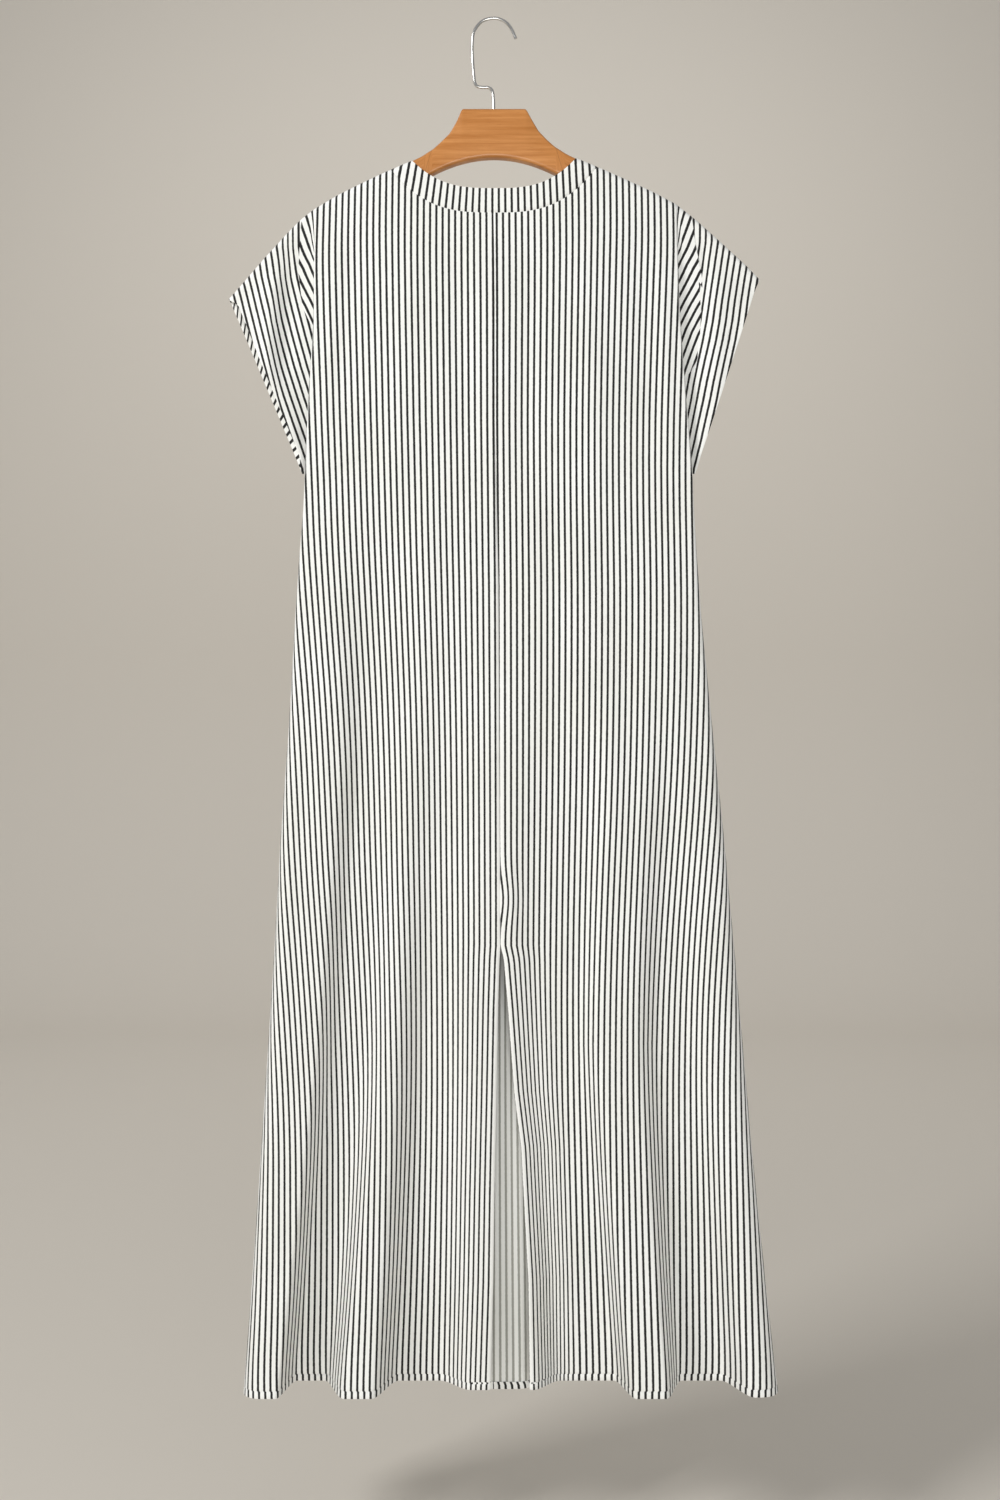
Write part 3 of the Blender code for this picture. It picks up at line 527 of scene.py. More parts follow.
def cloth_piece(name, grid, maps, materials, outward, wraps=False):
    """A thin closed shell on a grid of points, its right side outwards. The two maps become the UV
    maps Cloth and Edges."""
    rows, columns = grid.shape[:2]
    normals = outward * normals_of(grid, wraps)
    layers = [grid + sign * CLOTH / 2 * normals for sign in (1, -1)]
    count = rows * columns
    index = np.arange(count).reshape(rows, columns)
    index = np.concatenate([index, index[:, :1]], axis=1) if wraps else index
    right_side = np.stack([index[:-1, :-1], index[1:, :-1], index[1:, 1:], index[:-1, 1:]], axis=-1)
    if outward < 0:
        right_side = right_side[..., ::-1]
    right_side = right_side.reshape(-1, 4)
    wrong_side = right_side[:, ::-1] + count
    rims = [index[0], index[-1][::-1]]
    if not wraps:
        rims += [index[::-1, 0], index[:, -1]]
    edges = []
    for rim in rims:
        a, b = rim[:-1], rim[1:]
        quad = np.stack([a, b, b + count, a + count], axis=1)
        edges.append(quad if outward > 0 else quad[:, ::-1])
    faces = np.concatenate([right_side, wrong_side, *edges])
    mesh = bpy.data.meshes.new(name)
    mesh.from_pydata(np.concatenate(layers).reshape(-1, 3).tolist(), [], faces.tolist())
    for map_name, values in zip(("Cloth", "Edges"), maps):
        if wraps:
            values = np.concatenate([values, values[:, :1]], axis=1)
        layer = mesh.uv_layers.new(name=map_name)
        uv = values[:, :columns].reshape(count, 2)[faces.reshape(-1) % count]
        layer.data.foreach_set("uv", uv.reshape(-1).astype(np.float32))
    slots = np.zeros(len(faces), np.int32)
    slots[len(right_side):len(right_side) * 2] = 1
    mesh.polygons.foreach_set("material_index", slots)
    return place(name, mesh, materials, sharp_degrees=60)


def place(name, mesh, materials, sharp_degrees):
    """Gives a mesh its materials and shading, and puts it in the scene on the dress's one body."""
    for material in materials:
        mesh.materials.append(material)
    mesh.shade_smooth()
    mesh.set_sharp_from_angle(angle=math.radians(sharp_degrees))
    piece = bpy.data.objects.new(name, mesh)
    bpy.context.scene.collection.objects.link(piece)
    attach(piece, "root")
    return piece


def rgb(hex_colour):
    """An sRGB hex colour as linear RGBA."""
    parts = [int(hex_colour[i:i + 2], 16) / 255 for i in (0, 2, 4)]
    linear = [v / 12.92 if v <= 0.04045 else ((v + 0.055) / 1.055) ** 2.4 for v in parts]
    return (*linear, 1.0)


def add(tree, kind, inputs=None, **settings):
    """Adds a node, sets its properties, and sets or links its inputs."""
    node = tree.nodes.new(kind)
    for key, value in settings.items():
        setattr(node, key, value)
    for key, value in (inputs or {}).items():
        if isinstance(value, bpy.types.NodeSocket):
            tree.links.new(value, node.inputs[key])
        else:
            node.inputs[key].default_value = value
    return node


def new_material(name, **shader_values):
    """A material, its node tree and its shader, with these values on the shader's own sockets."""
    material = bpy.data.materials.new(name)
    material.use_nodes = True
    shader = material.node_tree.nodes["Principled BSDF"]
    for key, value in shader_values.items():
        shader.inputs[key.replace("_", " ").title().replace("Ior", "IOR")].default_value = value
    return material, material.node_tree, shader


STRIPE_PITCH = 0.00678          # from stripe to stripe
STRIPE_WIDTH = 0.00250          # drawn coarser: the real stripes are 2 mm wide, and would fade
STRIPE_SOFT = 0.00022           # half the width of its edge, where the yarns mix
STRIPE_WAVER = (330.0, 0.0005)  # of its edge: waves to a metre, 3 mm each, and how far they stray
CREPE_PATCHES = 9.0             # to a metre, 110 mm each: slightly whiter and greyer cloth
CREPE_GRAIN = 1400.0            # pebbles to a metre, drawn coarser: threads lie 0.25 mm apart
CREPE_WRINKLES = (190.0, 42.0, 1.0)     # to a metre, across and along: 5 mm wide, 24 mm long
WRINKLE_SLANT = math.radians(38)
SLIT_STITCH = 0.0090            # distance of the stitch line from the slit's edge
STITCH = 0.0030                 # from stitch to stitch
STITCH_GAP = (0.0002, 0.0006)   # from the middle of a gap: the cloth is flat, a stitch begins
THREAD = 0.0005                 # half the width of the groove that a stitch lies in


def striped_crepe(name, ground_low, ground_high, stripe):
    """Polyester crepe, woven of tightly twisted yarn: a matt cloth with a fine pebbled grain and
    soft slanting wrinkles, so light falls off it evenly. The stripes lie across the first
    direction of the map Cloth, and the stitch lines are found from the map Edges."""
    material, tree, shader = new_material(name, roughness=0.8, ior=1.5, sheen_weight=0.12,
                                          sheen_roughness=0.5)
    spot = add(tree, "ShaderNodeUVMap", uv_map="Cloth").outputs[0]
    across, down, _ = add(tree, "ShaderNodeSeparateXYZ", {0: spot}).outputs
    waves, stray = STRIPE_WAVER
    waver = add(tree, "ShaderNodeTexNoise", {"Vector": spot, "Scale": waves, "Detail": 1.0})
    shifted = add(tree, "ShaderNodeMath", {0: waver.outputs[0], 1: stray, 2: across},
                  operation="MULTIPLY_ADD")
    from_stripe = add(tree, "ShaderNodeMath", {0: shifted.outputs[0], 1: STRIPE_PITCH / 2},
                      operation="PINGPONG")
    plain = add(tree, "ShaderNodeMapRange",
                {"Value": from_stripe.outputs[0], "From Min": STRIPE_WIDTH / 2 - STRIPE_SOFT,
                 "From Max": STRIPE_WIDTH / 2 + STRIPE_SOFT}, interpolation_type="SMOOTHSTEP")
    patchy = add(tree, "ShaderNodeTexNoise",
                 {"Vector": spot, "Scale": CREPE_PATCHES, "Detail": 3.0})
    shade = add(tree, "ShaderNodeMapRange",
                {"Value": patchy.outputs[0], "From Min": 0.3, "From Max": 0.7})
    ground = add(tree, "ShaderNodeMix",
                 {0: shade.outputs[0], 6: rgb(ground_low), 7: rgb(ground_high)}, data_type="RGBA")
    colour = add(tree, "ShaderNodeMix",
                 {0: plain.outputs[0], 6: rgb(stripe), 7: ground.outputs[2]}, data_type="RGBA")
    tree.links.new(colour.outputs[2], shader.inputs["Base Color"])

    edges = add(tree, "ShaderNodeUVMap", uv_map="Edges").outputs[0]
    from_hem, from_slit, _ = add(tree, "ShaderNodeSeparateXYZ", {0: edges}).outputs
    lines = []
    for distance, at, on in ((from_hem, HEM_STITCH, across), (from_slit, SLIT_STITCH, down)):
        near = add(tree, "ShaderNodeMath", {0: distance, 1: at, 2: THREAD}, operation="COMPARE")
        beat = add(tree, "ShaderNodeMath", {0: on, 1: STITCH / 2}, operation="PINGPONG")
        sewn = add(tree, "ShaderNodeMapRange",
                   {"Value": beat.outputs[0], "From Min": STITCH_GAP[0],
                    "From Max": STITCH_GAP[1]})
        lines.append(add(tree, "ShaderNodeMath", {0: near.outputs[0], 1: sewn.outputs[0]},
                         operation="MULTIPLY").outputs[0])
    stitches = add(tree, "ShaderNodeMath", {0: lines[0], 1: lines[1]}, operation="MAXIMUM")
    sunk = add(tree, "ShaderNodeBump",
               {"Height": stitches.outputs[0], "Distance": 0.0003, "Strength": 0.7}, invert=True)
    grain = add(tree, "ShaderNodeTexNoise", {"Vector": spot, "Scale": CREPE_GRAIN, "Detail": 2.0})
    slanted = add(tree, "ShaderNodeMapping",
                  {"Vector": spot, "Rotation": (0, 0, WRINKLE_SLANT), "Scale": CREPE_WRINKLES})
    wrinkle = add(tree, "ShaderNodeTexNoise",
                  {"Vector": slanted.outputs[0], "Scale": 1.0, "Detail": 2.0})
    fine = add(tree, "ShaderNodeBump", {"Height": grain.outputs[0], "Distance": 0.00012,
                                        "Strength": 0.6, "Normal": sunk.outputs[0]})
    soft = add(tree, "ShaderNodeBump", {"Height": wrinkle.outputs[0], "Distance": 0.0009,
                                        "Strength": 0.45, "Normal": fine.outputs[0]})
    tree.links.new(soft.outputs[0], shader.inputs["Normal"])
    return material


# The right side of the cloth, and the wrong side, where the stripes show through paler. That
# paleness is partly the cloth's own and partly painted light: the wrong side's stripes are drawn
# lighter so that the shaded inside looks lit, as if light came through the thin crepe.
crepe = (striped_crepe("striped_crepe", "f3f3ed", "f9f9f6", "0d0c0b"),
         # Painted light: the wrong side's stripe colour is lightened to stand in for light coming
         # through the cloth.
         striped_crepe("striped_crepe_wrong_side", "f0f0ea", "f5f5f1", "a2a29a"))

for side, name in ((LEFT, "back_left"), (RIGHT, "back_right")):
    grid, *maps = half_panel(BACK, side)
    outward = np.sign((normals_of(grid)[..., 1] * BACK).mean())
    grid, maps = turn_under(grid, maps, outward * normals_of(grid), HEM_TURNED)
    # The slit's edge is the grid's first column: it is turned under as the last row of the grid
    # laid on its side.
    grid, *maps = [values.transpose(1, 0, 2)[::-1] for values in (grid, *maps)]
    outward = np.sign((normals_of(grid)[..., 1] * BACK).mean())
    slit_rows = [-1 - number for number in SLIT_TURNED]
    grid, maps = turn_under(grid, maps, outward * normals_of(grid), slit_rows)
    piece = cloth_piece(name + "_cloth", grid, maps, crepe, outward)
    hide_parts(name)


# ==================================================================== FRONT
# One whole panel of the same crepe, cut with a lower neck. Only its shoulders and its inside,
# through the slit, show from behind.
left, right = half_panel(FRONT, LEFT), half_panel(FRONT, RIGHT)
grid, *maps = [np.concatenate([a[:, :0:-1], b], axis=1)[:, ::2] for a, b in zip(left, right)]
outward = np.sign(normals_of(grid)[..., 1].mean())
grid, maps = turn_under(grid, maps, outward * normals_of(grid), HEM_TURNED)
piece = cloth_piece("front_cloth", grid, maps, crepe, outward)
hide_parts("front")


# ==================================================================== SLEEVES
# Two short sleeves of the crepe, each one piece folded over the shoulder and sewn into the
# armhole. Their hems are turned under 12 mm. Both come out from under the back panels.
SLEEVE_FOOT_Z = -0.4865         # of the hem's lowest point
SLEEVE_PAST_UNDERARM = 0.0045   # its distance outwards from the side crease
SLEEVE_OPEN = 0.013             # half the depth of the opening
SLEEVE_TUCK = 0.0040            # how far the sleeve runs on behind the seam
SLEEVE_TUCK_ROOM = 0.020        # width of sleeve that a whole tuck needs
SLEEVE_DROP = (0.0012, 0.0015)  # how far behind the panel it starts, and in what width
SLEEVE_HEM_BACK = {LEFT: 0.0055, RIGHT: 0.0008}     # how much further the front's hem reaches
SLEEVE_STITCH = 0.0110          # level distance of the stitch line from the hem
SLEEVE_TOP_FADE = 0.12          # share of the armhole in which hem and creases fade in at the top
SLEEVE_HEM_FADE = 0.08          # the shares at its foot, for the back hem's setting back,
SLEEVE_CREASE_FADE = 0.15       # for the creases,
SLEEVE_SEAM_FADE = 0.20         # and for the tuck and the drop behind the seam
# Columns, as shares of the way from the seam to the hem, and those of the hem that its turned edge
# lies behind.
SLEEVE_COLUMNS = (*np.linspace(0, 0.86, 26), 0.90, 0.935, 0.965, 0.985, 0.996, 1.0)
SLEEVE_TURNED = (-2, -4, -7)
# The course of one stripe on the back of each sleeve: height, distance from the middle.
SLEEVE_STRIPE = {
    LEFT: (
        (-0.2473, 0.2654), (-0.2793, 0.2606), (-0.3113, 0.2527), (-0.3434, 0.2444),
        (-0.3754, 0.2356), (-0.4075, 0.2255), (-0.4342, 0.2165), (-0.4555, 0.2092),
        (-0.4860, 0.1990),
    ),
    RIGHT: (
        (-0.2419, 0.2556), (-0.2739, 0.2509), (-0.3060, 0.2457), (-0.3273, 0.2429),
        (-0.3487, 0.2391), (-0.3700, 0.2343), (-0.3914, 0.2298), (-0.4128, 0.2259),
        (-0.4342, 0.2212), (-0.4555, 0.2167), (-0.4860, 0.2090),
    ),
}
SLEEVE_FULLNESS = {LEFT: 0.975, RIGHT: 0.985}       # as on the panels
# Soft creases, as on the panels.
SLEEVE_CREASES = {
    (BACK, LEFT): (
        (-0.236, -0.262, -0.246, -0.420, 0.011, 0.0042),
        (-0.216, -0.240, -0.224, -0.400, 0.009, -0.0030),
        (-0.262, -0.300, -0.238, -0.430, 0.008, -0.0010),
    ),
    (BACK, RIGHT): (
        (0.224, -0.236, 0.229, -0.310, 0.005, -0.0022),
        (0.214, -0.300, 0.216, -0.440, 0.008, -0.0026),
        (0.240, -0.270, 0.232, -0.420, 0.012, 0.0026),
        (0.268, -0.290, 0.244, -0.420, 0.008, -0.0008),
    ),
    (FRONT, LEFT): (
        (-0.230, -0.250, -0.232, -0.400, 0.010, 0.0024),
        (-0.252, -0.280, -0.240, -0.420, 0.008, -0.0016),
    ),
    (FRONT, RIGHT): (
        (0.236, -0.250, 0.232, -0.400, 0.010, -0.0020),
        (0.255, -0.280, 0.244, -0.400, 0.009, 0.0018),
    ),
}
# A flank turned from the camera takes up more cloth: how much, and where it is, by height.
FLANK_CLOTH = {LEFT: 0.0042, RIGHT: 0.0014}
FLANK_WIDTH = 0.020
FLANK_X = {
    LEFT: ((-0.247, 0.2200), (-0.295, 0.2286), (-0.327, 0.2350), (-0.392, 0.2361)),
    RIGHT: ((-0.240, 0.2260), (-0.306, 0.2300), (-0.340, 0.2200), (-0.430, 0.2120)),
}
# The cloth goes over the shoulder unbroken, so on the front half the stripes run nearly level.
# The lean is from upright; the start is where the cloth crosses the fold, half-way along it.
SLEEVE_FRONT_LEAN = math.radians(70)
SLEEVE_FOLD_X = 0.2525
SLEEVE_FRONT_START = {LEFT: -0.0057, RIGHT: -0.0006}


def sleeve_reach(side, share):
    """Where the sleeve's hem crosses an armhole row, as a distance from the middle."""
    tip_x, tip_left_z, tip_right_z = SHOULDER[-1]
    tip_z = tip_left_z if side == LEFT else tip_right_z
    foot_x = column(SECTIONS, UNDERARM_Z, by_side(side, 1)) + SLEEVE_PAST_UNDERARM
    across = np.linspace(foot_x, tip_x, SECTION_POINTS)
    hem_z = mix(SLEEVE_FOOT_Z, tip_z, (across - foot_x) / (tip_x - foot_x))
    height = mix(shoulder_z(side * across), SLEEVE_FOOT_Z, share)
    return float(np.interp(0, hem_z - height, across))


def across_sleeve(face, side, out, z):
    """Where points of a sleeve lie on its flat cloth, across the stripes."""
    if face == FRONT:
        down = shoulder_z(side * SLEEVE_FOLD_X) - z
        return ((out - SLEEVE_FOLD_X) * math.cos(SLEEVE_FRONT_LEAN)
                + down * math.sin(SLEEVE_FRONT_LEAN) + SLEEVE_FRONT_START[side])
    past_flank = ease(0.5 + (out - column(FLANK_X[side], z, 1)) / FLANK_WIDTH)
    from_stripe = out - column(SLEEVE_STRIPE[side], z, 1)
    return from_stripe * SLEEVE_FULLNESS[side] + FLANK_CLOTH[side] * past_flank


def sleeve_half(face, side):
    """Back or front half of a sleeve: rows down the armhole, columns from the seam to the hem."""
    crease_x = column(SECTIONS, UNDERARM_Z, by_side(side, 1))
    steps = np.array(SLEEVE_COLUMNS)
    points, cloth, edges = [], [], []
    for share in armhole_shares():
        left = 1 - share
        level = float(row_z(face, side * crease_x, share))
        reach = sleeve_reach(side, share)
        if face == BACK:
            set_back = ease(share / SLEEVE_TOP_FADE) * ease(left / SLEEVE_HEM_FADE)
            reach -= SLEEVE_HEM_BACK[side] * set_back
        if share == 1:
            seam = section(face, side, 1, level)[1][-1][-1]
            start = np.array([seam[0] + CLOTH, 0.0])
        else:
            start = section(face, side, share, level)[2]
        by_seam = ease(left / SLEEVE_SEAM_FADE)
        tuck = SLEEVE_TUCK * by_seam * ease((reach - start[0]) / SLEEVE_TUCK_ROOM)
        out = mix(start[0] - tuck, reach, steps)
        depth = np.full(len(out), start[1])
        if share < 1:
            edge_x = column(SECTIONS, level, by_side(side, 1))
            shown = reach - edge_x
            opening = min(SLEEVE_OPEN * math.sqrt(math.sin(math.pi * share)), shown / 2)
            depth = np.maximum(depth, mix(depth, opening, ease((out - edge_x) / shown)))
        x = side * out
        z = row_z(face, x, share)
        fade = ease(share / SLEEVE_TOP_FADE) * ease(left / SLEEVE_CREASE_FADE)
        drop, drop_width = SLEEVE_DROP
        depth = depth + fade * crease_depth(SLEEVE_CREASES[face, side], x, z)
        depth -= drop * ease(1 - (out - start[0]) / drop_width) * by_seam
        depth = np.maximum(depth, 0) * over_hanger(x, z)
        points.append(np.stack([x, face * depth, z], axis=1))
        cloth.append(np.stack([across_sleeve(face, side, out, z), z], axis=1))
        from_hem = (reach - out) * HEM_STITCH / SLEEVE_STITCH
        edges.append(np.stack([from_hem, np.full(len(out), NO_EDGE)], axis=1))
    return np.array(points), np.array(cloth), np.array(edges)


for side, name in ((LEFT, "sleeve_left"), (RIGHT, "sleeve_right")):
    halves = zip(sleeve_half(BACK, side), sleeve_half(FRONT, side))
    grid, *maps = [np.concatenate([a, b[-2:0:-1]]).transpose(1, 0, 2) for a, b in halves]
    spokes = grid - grid.mean(axis=1, keepdims=True)
    outward = np.sign((normals_of(grid, wraps=True) * spokes).sum())
    grid, maps = turn_under(grid, maps, outward * normals_of(grid, wraps=True), SLEEVE_TURNED)
    piece = cloth_piece(name + "_cloth", grid, maps, crepe, outward, wraps=True)
    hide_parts(name)


# ==================================================================== NECK BAND
# A band of the crepe, cut round to the neck, folded double along its free edge and sewn into the
# neckline. Its stripes stand nearly upright, leaning inwards a little towards its ends.
NECK_EDGE_HALF_WIDTH = 0.0895
NECK_EDGE_Z = {BACK: -0.1848, FRONT: -0.2490}
BAND_COLUMNS = 90
BAND_LINE_POINTS = 900          # of a line round the neck, before it is cut into columns
BAND_DEPTH_WEIGHT = 10          # closer columns where the band turns over the hanger
BAND_PUFF = 0.0004
BAND_DIP = (0.0013, 0.06)       # into its seam: how deep, and over what share of its width
# The rows' shares of the way from the seam to the free edge; the first ones lie under the panels.
BAND_SHARES = (-0.12, -0.03, 0.02, 0.06, 0.12, 0.25, 0.40, 0.55, 0.70, 0.82, 0.91, 0.97, 1.0)
BAND_TURNED = (-2, -4, -7, -10)     # the rows that its turned half lies behind
# Cloth in the band for each length of it drawn here, at the seam and at the free edge: the cut
# spreads the stripes towards the seam.
BAND_FULLNESS = {LEFT: (0.947, 1.000), RIGHT: (0.973, 0.991)}
BAND_FIRST = -0.0015            # place of the stripe nearest the middle


def band_half(face):
    """The band on one face: rows from its seam to its free edge, columns round the neck."""
    seam_z, power = NECK_SEAM[face]
    lines = []
    for half_width, middle_z in ((NECK_HALF_WIDTH, seam_z),
                                 (NECK_EDGE_HALF_WIDTH, NECK_EDGE_Z[face])):
        x = np.linspace(-half_width, half_width, BAND_LINE_POINTS)
        z = neck_z(x, half_width, middle_z, power)
        depth = BAND_DEPTH_WEIGHT * over_hanger(x, z) * column(SECTIONS, z, 5)
        line = np.stack([x, z, depth], axis=1)[::-face]
        lines.append(along(line, np.arange(BAND_COLUMNS) / BAND_COLUMNS * runs(line)[-1]))
    dip, dip_share = BAND_DIP
    points, cloth, edges = [], [], []
    for share in BAND_SHARES:
        x, z, _ = mix(*lines, share).T
        depth = column(SECTIONS, z, 5) + BAND_PUFF * math.sin(math.pi * min(max(share, 0), 1))
        depth -= dip * ease(1 - share / dip_share)
        y = face * np.maximum(depth, 0) * over_hanger(x, z)
        points.append(np.stack([x, y, z], axis=1))
        left, right = (mix(*BAND_FULLNESS[side], share) for side in (LEFT, RIGHT))
        across = (x - BAND_FIRST) * np.where(x < BAND_FIRST, left, right)
        cloth.append(np.stack([across, z], axis=1))
        edges.append(np.full((len(x), 2), NO_EDGE))
    return np.array(points), np.array(cloth), np.array(edges)


halves = zip(band_half(BACK), band_half(FRONT))
grid, *maps = [np.concatenate(pair, axis=1) for pair in halves]
spokes = grid - grid.mean(axis=1, keepdims=True)
outward = np.sign((normals_of(grid, wraps=True) * spokes)[..., 1].sum())
grid, maps = turn_under(grid, maps, outward * normals_of(grid, wraps=True), BAND_TURNED)
piece = cloth_piece("neck_band_cloth", grid, maps, crepe, outward, wraps=True)
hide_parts("neck_band")


# ==================================================================== HANGER
# A flat clothes hanger of blond hardwood, sawn from board 14 mm thick, its arrises rounded over
# and clear lacquered. The two arms are glued to the middle block with slanting joints.
HANGER_THICKNESS = 0.014
HANGER_SEAT = 0.0013            # top of the wood to the middle of the cloth on it
HANGER_TIP_X = 0.188
HANGER_TIP_ROUND = 0.006        # length over which each tip is rounded
HANGER_TIP_SHARE = 0.5          # of the full section, at the very tip
HANGER_ARM_DEPTH = 0.026
HANGER_TIP_DEPTH = 0.017
HANGER_EDGE_ROUND = 0.0035
HANGER_EDGE_STEPS = 6           # points round one arris
HANGER_CORNER = 0.0030          # reach over which the outline's corners are rounded
BLOCK_CURVE_X = 0.050           # how far out the shoulders' curve needs close stations
ARCH_TOP_Z = -0.1500
ARCH_HALF_WIDTH = 0.0700
ARCH_RISE = 0.0195
JOINT_X = 0.0713                # of the glued joint at the middle of its height
JOINT_MIDDLE_Z = -0.157
JOINT_SLANT = -0.30
# The grain runs along the block, and follows each arm from this distance on, within this length.
GRAIN_TURN = (0.066, 0.010)


def hanger_edges(x):
    """Height of the wood's upper and lower outline at x."""
    near = x + np.linspace(-1, 1, 9) * HANGER_CORNER / 2
    upper = shoulder_z(near).mean() - HANGER_SEAT
    if abs(x) < ARCH_HALF_WIDTH:
        return upper, ARCH_TOP_Z - ARCH_RISE * (abs(x) / ARCH_HALF_WIDTH) ** 2
    share = (abs(x) - ARCH_HALF_WIDTH) / (HANGER_TIP_X - ARCH_HALF_WIDTH)
    return upper, upper - mix(HANGER_ARM_DEPTH, HANGER_TIP_DEPTH, share)


def tube_mesh(name, rings):
    """A closed solid through rings of points of one count, its first and last ring capped."""
    rings = np.array(rings)
    index = np.arange(rings.shape[0] * rings.shape[1]).reshape(rings.shape[:2])
    beside = np.roll(index, -1, axis=1)
    sides = np.stack([index[:-1], beside[:-1], beside[1:], index[1:]], axis=-1).reshape(-1, 4)
    mesh = bpy.data.meshes.new(name)
    mesh.from_pydata(rings.reshape(-1, 3).tolist(), [],
                     [*sides.tolist(), index[0][::-1].tolist(), index[-1].tolist()])
    return mesh


stations = np.concatenate([np.linspace(-HANGER_TIP_X, -BLOCK_CURVE_X, 60),
                           np.linspace(-BLOCK_CURVE_X, BLOCK_CURVE_X, 90)[1:-1],
                           np.linspace(BLOCK_CURVE_X, HANGER_TIP_X, 60)])
side_y = HANGER_THICKNESS / 2 - HANGER_EDGE_ROUND
rings, grain = [], []
for x in stations:
    upper, lower = hanger_edges(x)
    middle = (upper + lower) / 2
    from_tip = (HANGER_TIP_X - abs(x)) / HANGER_TIP_ROUND
    size = 1 - ease(1 - from_tip) * (1 - HANGER_TIP_SHARE)
    follow = ease((abs(x) - GRAIN_TURN[0]) / GRAIN_TURN[1])
    ring = []
    for y, z, start in ((side_y, upper - HANGER_EDGE_ROUND, 0),
                        (-side_y, upper - HANGER_EDGE_ROUND, 90),
                        (-side_y, lower + HANGER_EDGE_ROUND, 180),
                        (side_y, lower + HANGER_EDGE_ROUND, 270)):
        for way in np.radians(start + np.linspace(0, 90, HANGER_EDGE_STEPS)):
            out_y = y + HANGER_EDGE_ROUND * math.cos(way)
            out_z = z + HANGER_EDGE_ROUND * math.sin(way)
            out_z = middle + (out_z - middle) * size
            ring.append((x, out_y * size, out_z))
            grain.append((x, out_z - middle * follow))
    rings.append(ring)
mesh = tube_mesh("wooden_hanger", rings)
layer = mesh.uv_layers.new(name="Grain")
corners = np.array([loop.vertex_index for loop in mesh.loops])
layer.data.foreach_set("uv", np.array(grain)[corners].reshape(-1).astype(np.float32))

# Blond hardwood under clear satin lacquer: warm brown growth rings drawn out along the board, fine
# dark pores, and a thin coat that gives the light a soft second gloss. The glued joints show as
# faint dark lines.
WOOD_RINGS = (7.0, 210.0, 1.0)          # to a metre, along and across: 140 mm long, 5 mm wide
WOOD_PORES = (90.0, 2400.0, 1.0)        # the same: 11 mm long, 0.4 mm wide
JOINT_HALF_WIDTH = 0.0003

wood, tree, shader = new_material("lacquered_hardwood", roughness=0.38, ior=1.5, coat_weight=0.25,
                                  coat_roughness=0.2)
spot = add(tree, "ShaderNodeUVMap", uv_map="Grain").outputs[0]
along_board = add(tree, "ShaderNodeSeparateXYZ", {0: spot}).outputs[0]
stretched = add(tree, "ShaderNodeMapping", {"Vector": spot, "Scale": WOOD_RINGS})
rings = add(tree, "ShaderNodeTexNoise", {"Vector": stretched.outputs[0], "Scale": 1.0,
                                         "Detail": 4.0, "Roughness": 0.6, "Distortion": 0.3})
tone = add(tree, "ShaderNodeMapRange",
           {"Value": rings.outputs[0], "From Min": 0.3, "From Max": 0.7})
figure = add(tree, "ShaderNodeMix",
             {0: tone.outputs[0], 6: rgb("b16d28"), 7: rgb("d49151")}, data_type="RGBA")
fine = add(tree, "ShaderNodeMapping", {"Vector": spot, "Scale": WOOD_PORES})
pore = add(tree, "ShaderNodeTexNoise", {"Vector": fine.outputs[0], "Scale": 1.0, "Detail": 1.0})
pore_mask = add(tree, "ShaderNodeMapRange", {"Value": pore.outputs[0], "From Min": 0.60,
                                             "From Max": 0.75, "To Max": 0.35})
flecked = add(tree, "ShaderNodeMix", {0: pore_mask.outputs[0], 6: figure.outputs[2],
                                      7: rgb("9a5c26")}, data_type="RGBA")
from_middle = add(tree, "ShaderNodeMath", {0: along_board}, operation="ABSOLUTE")
up = add(tree, "ShaderNodeSeparateXYZ",
         {0: add(tree, "ShaderNodeTexCoord").outputs["Object"]}).outputs[2]
leaning = add(tree, "ShaderNodeMath", {0: up, 1: -JOINT_SLANT, 2: from_middle.outputs[0]},
              operation="MULTIPLY_ADD")
joint = add(tree, "ShaderNodeMath",
            {0: leaning.outputs[0], 1: JOINT_X - JOINT_SLANT * JOINT_MIDDLE_Z,
             2: JOINT_HALF_WIDTH}, operation="COMPARE")
faint = add(tree, "ShaderNodeMath", {0: joint.outputs[0], 1: 0.4}, operation="MULTIPLY")
joined = add(tree, "ShaderNodeMix", {0: faint.outputs[0], 6: flecked.outputs[2],
                                     7: rgb("7a4a20")}, data_type="RGBA")
tree.links.new(joined.outputs[2], shader.inputs["Base Color"])
hanger = place("wooden_hanger", mesh, [wood], sharp_degrees=50)
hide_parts("hanger")


# ==================================================================== HOOK
# One length of bright plated steel wire, 3.2 mm thick, bent round for the rail. Its stem stands
# in a hole in the hanger's block.
WIRE_RADIUS = 0.0016
WIRE_END = 0.6                  # share of the radius at its two ends, whose edges are rounded off
WIRE_SIDES = 16
WIRE_STEPS = 9                  # between two points of its route
# The route of its middle: x, z.
HOOK_ROUTE = (
    (-0.0002, -0.0975), (-0.0006, -0.0860), (-0.0020, -0.0765), (-0.0062, -0.0732),
    (-0.0125, -0.0730), (-0.0180, -0.0718), (-0.0208, -0.0670), (-0.0222, -0.0545),
    (-0.0232, -0.0400), (-0.0234, -0.0260), (-0.0213, -0.0122), (-0.0128, -0.0018),
    (0.0000, 0.0016), (0.0112, -0.0018), (0.0185, -0.0095), (0.0235, -0.0205),
)

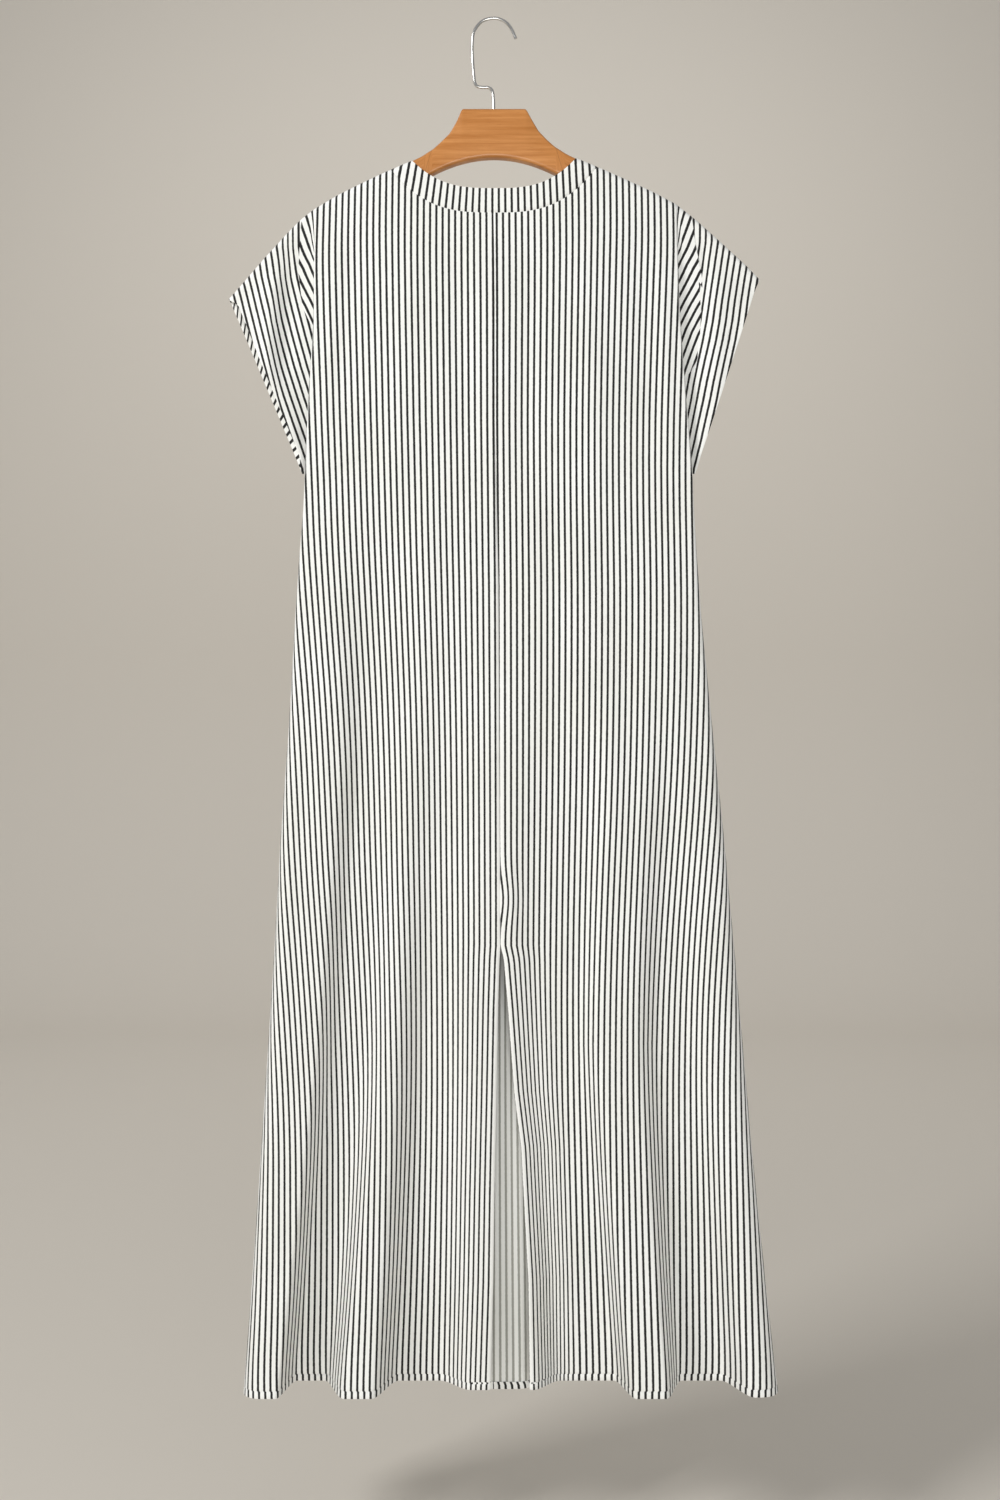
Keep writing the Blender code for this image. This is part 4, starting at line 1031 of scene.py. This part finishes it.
# A smooth curve through the route's points.
route = np.array(HOOK_ROUTE)
padded = np.vstack([2 * route[0] - route[1], route, 2 * route[-1] - route[-2]])
bent = []
for a, b, c, d in zip(padded, padded[1:], padded[2:], padded[3:]):
    for t in np.arange(WIRE_STEPS) / WIRE_STEPS:
        bent.append(0.5 * (2 * b + (c - a) * t + (2 * a - 5 * b + 4 * c - d) * t**2
                           + (3 * b - a - 3 * c + d) * t**3))
bent = np.array([*bent, route[-1]])
ways = np.gradient(bent, axis=0)
ways /= np.linalg.norm(ways, axis=1, keepdims=True)
rings = []
for (x, z), (way_x, way_z), share in zip(
        [bent[0], *bent, bent[-1]], [ways[0], *ways, ways[-1]],
        [WIRE_END, *[1] * len(bent), WIRE_END]):
    angles = -2 * math.pi * np.arange(WIRE_SIDES) / WIRE_SIDES
    out, aside = share * WIRE_RADIUS * np.array([np.cos(angles), np.sin(angles)])
    rings.append(np.stack([x - out * way_z, aside, z + out * way_x], axis=1))
mesh = tube_mesh("wire_hook", rings)

# Bright plated steel: polished enough to mirror the room, with a slightly soft edge to it.
steel, _, _ = new_material("plated_steel_wire", metallic=1.0, roughness=0.2,
                           base_color=rgb("d9d7d3"))
hook = place("wire_hook", mesh, [steel], sharp_degrees=50)
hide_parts("hook")


# ==================================================================== THE ROOM
# A plain pale floor that curves up into a plain backdrop, soft studio light from the upper left,
# and the camera straight behind the dress at its middle height.
FLOOR_Z = -1.640
FLOOR_NEAR_Y, FLOOR_FAR_Y = -3.0, 3.2
BACKDROP_CURVE = 1.2            # radius of the curve between floor and backdrop
BACKDROP_TOP_Z = 4.5
BACKDROP_HALF_WIDTH = 8

profile = [(FLOOR_NEAR_Y, FLOOR_Z)]
for way in np.radians(np.linspace(0, 90, 13)):
    profile.append((FLOOR_FAR_Y + BACKDROP_CURVE * math.sin(way),
                    FLOOR_Z + BACKDROP_CURVE * (1 - math.cos(way))))
profile.append((FLOOR_FAR_Y + BACKDROP_CURVE, BACKDROP_TOP_Z))
points = [(x, y, z) for y, z in profile for x in (-BACKDROP_HALF_WIDTH, BACKDROP_HALF_WIDTH)]
mesh = bpy.data.meshes.new("floor_and_backdrop")
mesh.from_pydata(points, [], [(2 * i, 2 * i + 1, 2 * i + 3, 2 * i + 2)
                              for i in range(len(profile) - 1)])
# Matt paint without gloss, so that the backdrop stays quiet.
paint, _, _ = new_material("painted_backdrop", roughness=0.9, base_color=rgb("dcd5ca"))
mesh.materials.append(paint)
mesh.shade_smooth()
backdrop = bpy.data.objects.new("floor_and_backdrop", mesh)
bpy.context.scene.collection.objects.link(backdrop)


def softbox(name, position, target, width, height, watts):
    """A rectangular area light, turned from its position towards the target."""
    lamp = bpy.data.lights.new(name, "AREA")
    lamp.shape = "RECTANGLE"
    lamp.size, lamp.size_y = width, height
    lamp.energy = watts
    holder = bpy.data.objects.new(name, lamp)
    holder.location = position
    way = np.array(target) - np.array(position)
    holder.rotation_euler = (
        math.atan2(math.hypot(way[0], way[1]), -way[2]), 0, math.atan2(-way[0], way[1]))
    bpy.context.scene.collection.objects.link(holder)


softbox("key_light", position=(-2.4, -1.9, 1.2), target=(0, 0, -0.75), width=1.0, height=1.0,
        watts=68)
softbox("fill_light", position=(0.2, -3.3, -1.2), target=(0, 0, -1.1), width=1.6, height=1.6,
        watts=47)
softbox("backdrop_light", position=(0.0, 2.0, 1.8), target=(0, 4.2, -0.6), width=3.0, height=1.0,
        watts=30)

# Plain sRGB, so that the white cloth and the dark stripes keep their contrast.
bpy.context.scene.view_settings.view_transform = "Standard"

world = bpy.data.worlds.new("room")
world.use_nodes = True
world.node_tree.nodes["Background"].inputs["Color"].default_value = rgb("fbfdff")
world.node_tree.nodes["Background"].inputs["Strength"].default_value = 0.34
bpy.context.scene.world = world

lens = bpy.data.cameras.new("camera")
lens.sensor_width = 36
lens.lens = 39.44
camera = bpy.data.objects.new("camera", lens)
camera.location = (0.0064, -1.77, -0.7866)
camera.rotation_euler = (math.radians(90), 0, 0)
bpy.context.scene.collection.objects.link(camera)
bpy.context.scene.camera = camera
